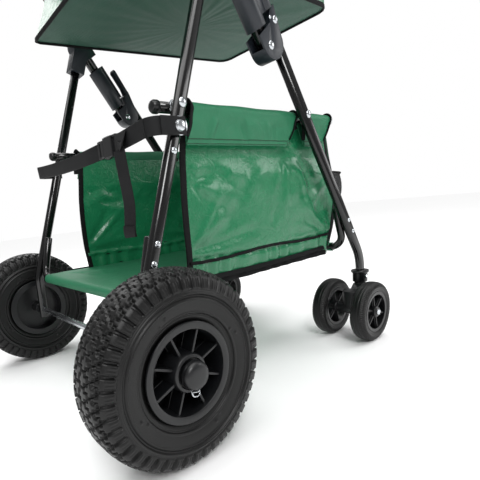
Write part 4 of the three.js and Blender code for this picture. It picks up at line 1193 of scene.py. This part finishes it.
@dataclass
class Basket:
    """The cloth basket in its hoop: four walls and a sagging floor in one skin, bound along its lower edges."""

    palette: Palette

    def ring(self, t: float, count: int) -> np.ndarray:
        """The basket's outline at t, from 0 at the bottom to 1 at the hoop, from the rear right corner round."""
        lerp = lambda a, b: a + (b - a) * t
        rear_x0, front_x0 = lerp(71, 135), lerp(598, 599)
        rear_y, front_y = lerp(190, 195), lerp(161, 195)
        corner = lerp(26, 58)
        z_rear, z_front = lerp(701, 876), lerp(719, 876)
        a = np.linspace(-math.pi / 2, 0, 9)
        right = np.stack([front_x0 - corner + corner * np.cos(a), -front_y + corner + corner * np.sin(a)], -1)
        left = right[::-1] * (1, -1)
        r = 8.0
        b = np.linspace(-math.pi, -math.pi / 2, 5)
        rear_r = np.stack([rear_x0 + r + r * np.cos(b), -rear_y + r + r * np.sin(b)], -1)
        rear_l = rear_r[::-1] * (1, -1)
        line = np.concatenate([rear_r, right, left, rear_l, rear_r[:1]])
        length = np.concatenate([[0], np.cumsum(np.linalg.norm(np.diff(line, axis=0), axis=1))])
        even = np.linspace(0, length[-1], count)
        xy = np.stack([np.interp(even, length, line[:, i]) for i in range(2)], -1)
        z = z_rear + (z_front - z_rear) * (xy[:, 0] - rear_x0) / (front_x0 - rear_x0)
        return np.concatenate([xy, z[:, None]], 1)

    def walls(self) -> np.ndarray:
        """The walls, rolled over the hoop at the top. Returns the lower ring."""
        count, rows = 420, 70
        ts = np.linspace(0, 1, rows)
        pts = np.stack([self.ring(t, count) for t in ts])
        centre = np.array([340.0, 0, 790.0])
        around = np.linspace(0, 1800, count)[None, :]
        up = (ts * 170)[:, None]
        creases = scatter(1800, 170, 51, 90, 2.4)
        for k in range(24):
            creases.append(Crease((k * 75 + 20, 168), -90 + (k % 5 - 2) * 9, 110, 3.5, -2.2))
        depth = relief_of(creases, around + 0 * up, up + 0 * around)
        depth = depth * np.clip(np.sin(math.pi * ts) * 3, 0, 1)[:, None] - 5 * np.sin(math.pi * ts)[:, None]
        inward = unit((centre - pts) * (1, 1, 0))
        pts = pts + inward * np.clip(-depth, -1.0, 14)[..., None]
        over = []
        for a in np.linspace(0.2, math.pi * 0.85, 9):
            ring = self.ring(1, count)
            away = -unit((centre - ring) * (1, 1, 0))
            over.append(ring * (1, 1, 0) + (0, 0, HOOP_Z) + away * (8 - 8.6 * math.cos(a)) + (0, 0, 1) * np.array(
                [[0, 0, 8.6 * math.sin(a)]]))
        pts = np.concatenate([pts, np.stack(over)])
        cloth_piece("basket_walls", pts, self.palette.green, "basket_frame", nodes=("basket",))
        return pts[0]

    def floor(self, rim: np.ndarray) -> None:
        """The floor: rings from the lower edge in to the middle, sagging, with creases that run to the middle."""
        middle = np.array([335.0, 0.0, 709.0])
        shares = np.linspace(1, 0.02, 60)
        ang = np.arctan2(rim[:, 1] - middle[1], rim[:, 0] - middle[0])
        fold = 0.5 * np.sin(ang * 13 + 0.7 * np.sin(3 * ang)) + 0.35 * np.sin(ang * 29 + 2)
        pts = []
        for k in shares:
            p = middle + (rim - middle) * k
            p[:, 2] += -13 * (1 - k**2.2) + 2.4 * fold * math.sin(math.pi * k) * k
            p[:, 2] += 1.1 * np.sin(p[:, 0] / 38 + 1) * np.sin(p[:, 1] / 29) * (1 - k**4)
            pts.append(p)
        cloth_piece("basket_floor", np.stack(pts), self.palette.lining, "basket_frame")

    def build(self) -> None:
        """Walls, floor and binding."""
        rim = self.walls()
        self.floor(rim)
        tape("basket_base_binding", rim[::3], self.palette.binding, "basket_frame", 10, 3.4, np.array([1.0, 0, 0]))
        for i, spot in enumerate((0.0, 0.31, 0.47, 0.995)):
            line = np.array([self.ring(t, 420)[int(spot * 419)] for t in np.linspace(0, 1, 24)])
            out = unit((line[0] - (340, 0, 790)) * (1, 1, 0))
            tape(f"basket_corner_binding_{i}", line + out * 0.8, self.palette.binding, "basket_frame", 9, 2.6, out)
        log.info("basket")


@dataclass
class LoadStrap:
    """The webbing strap across the rear legs, with its buckle and loose end.

    Attributes:
        palette: the finishes.
        height: of the strap's bolts, in mm.
        sag: how far its middle hangs below them.
        buckle_y: the buckle's middle, across the cart.
        set_back: how far behind the legs it crosses.
        half_buckle: half the buckle's length.
    """

    palette: Palette
    height: float = 440
    sag: float = 10
    buckle_y: float = -118
    set_back: float = 48
    half_buckle: float = 31

    @property
    def back_x(self) -> float:
        """Where the run behind the legs lies along the cart."""
        return rear_x(self.height) - self.set_back

    def z_at(self, y: float) -> float:
        """The strap's height where it crosses behind the legs."""
        return self.height - self.sag * (1 - (y / 239.3) ** 2)

    def ribbon(self, name: str, path: np.ndarray, width: float = 25, thickness: float = 1.8,
               side: np.ndarray | None = None) -> bpy.types.Object:
        """A run of webbing, thin in the side direction."""
        n = 16
        a = np.linspace(0, 2 * math.pi, n, endpoint=False)
        box = np.stack([np.sign(np.cos(a)) * np.abs(np.cos(a)) ** 0.35 * thickness / 2,
                        np.sign(np.sin(a)) * np.abs(np.sin(a)) ** 0.35 * width / 2], -1)
        obj = sweep(name, path, box, self.palette.webbing, "rear_frame", 0.3, side)
        rings = len(obj.data.vertices) // n
        add_uv(obj, np.repeat(np.linspace(0, rings * 4 * MM, rings), n), np.tile(box[:, 1] * MM, rings))
        return obj

    def runs(self) -> None:
        """The two runs, from the leg bolts back and across to the buckle."""
        bolt_x = rear_x(self.height)
        x = self.back_x
        for side, end in ((Side.RIGHT, self.buckle_y - 29), (Side.LEFT, self.buckle_y + 29)):
            y = side.value * 239.4
            knots = [(bolt_x + 12, y, self.height), (x, y, self.height)]
            knots += [(x, k, self.z_at(k)) for k in np.linspace(y, end, 7)[1:]]
            path = bent(knots, 22, 8)
            obj = self.ribbon(f"strap_run_{side.word}", path, side=np.array([0.0, 1.0, 0.0]))
            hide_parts(f"strap_{side.word}")
            over = y + side.value * 2.1
            loop = bent([(bolt_x + 10, over, self.height), (bolt_x - 32, over, self.height)], 4)
            self.ribbon(f"strap_fold_{side.word}", loop, side=np.array([0.0, 1.0, 0.0]))

    def tail(self) -> None:
        """The loose end: it leaves the buckle, hangs and curls a little, and ends in a stitched fold."""
        x = self.back_x
        y = self.buckle_y - self.half_buckle - 13
        z = self.z_at(y)
        knots = [(x - 8, y - 2, z - 14), (x - 6, y - 3, z - 50), (x - 2, y - 1, z - 92), (x - 5, y + 1, z - 130),
                 (x - 4, y + 1, z - 141)]
        path = smooth_line(knots, 60)
        self.ribbon("strap_tail", path, side=np.array([1.0, 0.2, 0.0]))
        end = path[-9:] - (2.0, 0, 0)
        self.ribbon("strap_tail_fold", end, 25.4, side=np.array([1.0, 0.2, 0.0]))
        keeper = bent([(x - 3.2, y + 15, z), (x - 3.2, y - 14, z)], 4)
        self.ribbon("strap_tail_turn", np.concatenate([keeper, path[:1] + (0, 0, 6)]), 24,
                    side=np.array([1.0, 0.0, 0.0]))

    def buckle(self) -> None:
        """The side-release buckle: a hollow socket, a plug with two sprung arms, and bars for the webbing."""
        x = self.back_x
        z = self.z_at(self.buckle_y)
        y0, y1 = self.buckle_y - self.half_buckle, self.buckle_y + self.half_buckle
        split = self.buckle_y + 8
        eye = np.eye(3)
        socket = [((x, (split + y0) / 2 + 6, z), (5.2, (split - y0) / 2 - 6, 15.6), eye),
                  ((x, y0 + 2.6, z), (3.0, 2.4, 15.4), eye), ((x, y0 + 9, z + 14), (3.0, 8, 1.9), eye),
                  ((x, y0 + 9, z - 14), (3.0, 8, 1.9), eye)]
        verts, faces = boxes(socket)
        a = new_piece("buckle_socket_shell", verts, faces, self.palette.plastic, "rear_frame")
        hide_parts("buckle_socket")
        bevel(a, 1.5, 3)
        plug = [((x, split + 5.2, z), (4.6, 5, 13), eye), ((x, y1 - 2.6, z), (3.0, 2.4, 13.6), eye),
                ((x, y1 - 9, z + 12), (3.0, 8, 1.9), eye), ((x, y1 - 9, z - 12), (3.0, 8, 1.9), eye),
                ((x, split - 7, z + 15.6), (2.6, 7, 1.4), eye), ((x, split - 7, z - 15.6), (2.6, 7, 1.4), eye)]
        verts, faces = boxes(plug)
        b = new_piece("buckle_plug_shell", verts, faces, self.palette.plastic, "rear_frame")
        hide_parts("buckle_plug")
        bevel(b, 1.3, 3)

    def build(self) -> None:
        """The whole strap."""
        self.runs()
        self.tail()
        self.buckle()
        log.info("strap")


# ---------------------------------------------------------------- camera and light


@dataclass
class Studio:
    """The camera, a pale floor and soft lights.

    Attributes:
        eye: the camera's place, in metres.
        right: the camera's right direction.
        up: the camera's up direction.
        lens: its focal length on a 36 mm sensor.
        shift: its lens shift.
    """

    eye: tuple = (-0.26305 - CENTRE_X * MM, -0.68005, 0.33055)
    right: tuple = (0.78572, -0.60955, -0.10533)
    up: tuple = (0.20869, 0.10092, 0.97276)
    lens: float = 28.747
    shift: tuple = (0.1225, 0.1012)

    def camera(self) -> None:
        """The scene's camera."""
        data = bpy.data.cameras.new("view")
        data.lens, data.sensor_width, data.sensor_fit = self.lens, 36, "HORIZONTAL"
        data.shift_x, data.shift_y = self.shift
        data.clip_start, data.clip_end = 0.01, 60
        obj = bpy.data.objects.new("view", data)
        bpy.context.scene.collection.objects.link(obj)
        right, up = Vector(self.right).normalized(), Vector(self.up)
        up = (up - right * up.dot(right)).normalized()
        turn = Matrix((right, up, right.cross(up))).transposed()
        obj.matrix_world = Matrix.Translation(self.eye) @ turn.to_4x4()
        bpy.context.scene.camera = obj

    def lamp(self, name: str, place: tuple, size: float, power: float, target: tuple = (0, 0, 0.4)) -> None:
        """One soft square lamp aimed at a target."""
        data = bpy.data.lights.new(name, "AREA")
        data.energy, data.size = power, size
        obj = bpy.data.objects.new(name, data)
        bpy.context.scene.collection.objects.link(obj)
        obj.location = place
        obj.rotation_euler = (Vector(target) - Vector(place)).to_track_quat("-Z", "Y").to_euler()

    def build(self) -> None:
        """Floor, lamps and sky."""
        mesh = bpy.data.meshes.new("floor")
        mesh.from_pydata([(-9, -9, -0.0005), (9, -9, -0.0005), (9, 9, -0.0005), (-9, 9, -0.0005)], [], [(0, 1, 2, 3)])
        floor = bpy.data.objects.new("floor", mesh)
        mesh.materials.append(Finish("pale floor", "#FAFAFA", 0.8, relief=0.0, patches=0.01).build())
        bpy.context.scene.collection.objects.link(floor)
        world = bpy.data.worlds.new("studio")
        world.use_nodes = True
        world.node_tree.nodes["Background"].inputs["Color"].default_value = (1, 1, 1, 1)
        sky = world.node_tree.nodes["Background"]
        rays = add_node(world.node_tree, "ShaderNodeLightPath")
        strength = add_node(world.node_tree, "ShaderNodeMapRange")
        strength.inputs["To Min"].default_value = 0.33
        strength.inputs["To Max"].default_value = 1.0
        world.node_tree.links.new(rays.outputs["Is Camera Ray"], strength.inputs["Value"])
        world.node_tree.links.new(strength.outputs["Result"], sky.inputs["Strength"])
        bpy.context.scene.world = world
        bpy.context.scene.view_settings.view_transform = "Standard"
        self.lamp("key", (-1.3, -2.2, 2.3), 1.0, 48)
        self.lamp("fill", (2.2, -1.6, 1.4), 1.2, 15)
        self.lamp("back", (0.6, 2.1, 2.0), 1.8, 30)
        data = bpy.data.lights.new("overhead", "SUN")
        data.energy, data.angle = 2.2, math.radians(60)
        overhead = bpy.data.objects.new("overhead", data)
        bpy.context.scene.collection.objects.link(overhead)
        log.info("studio")


def main() -> None:
    """Builds the cart piece by piece."""
    studio = Studio()
    studio.camera()
    palette = Palette()
    TubeFrame(palette).build()
    MouldedParts(palette).build()
    Fasteners(palette).build()
    for side in Side:
        RearWheel(palette, side).build()
        for place, way in (("outer", 1), ("inner", -1)):
            CasterWheel(palette, side, place, way).build()
    Sling(palette).build()
    Basket(palette).build()
    LoadStrap(palette).build()
    studio.build()


if __name__ == "__main__":
    main()
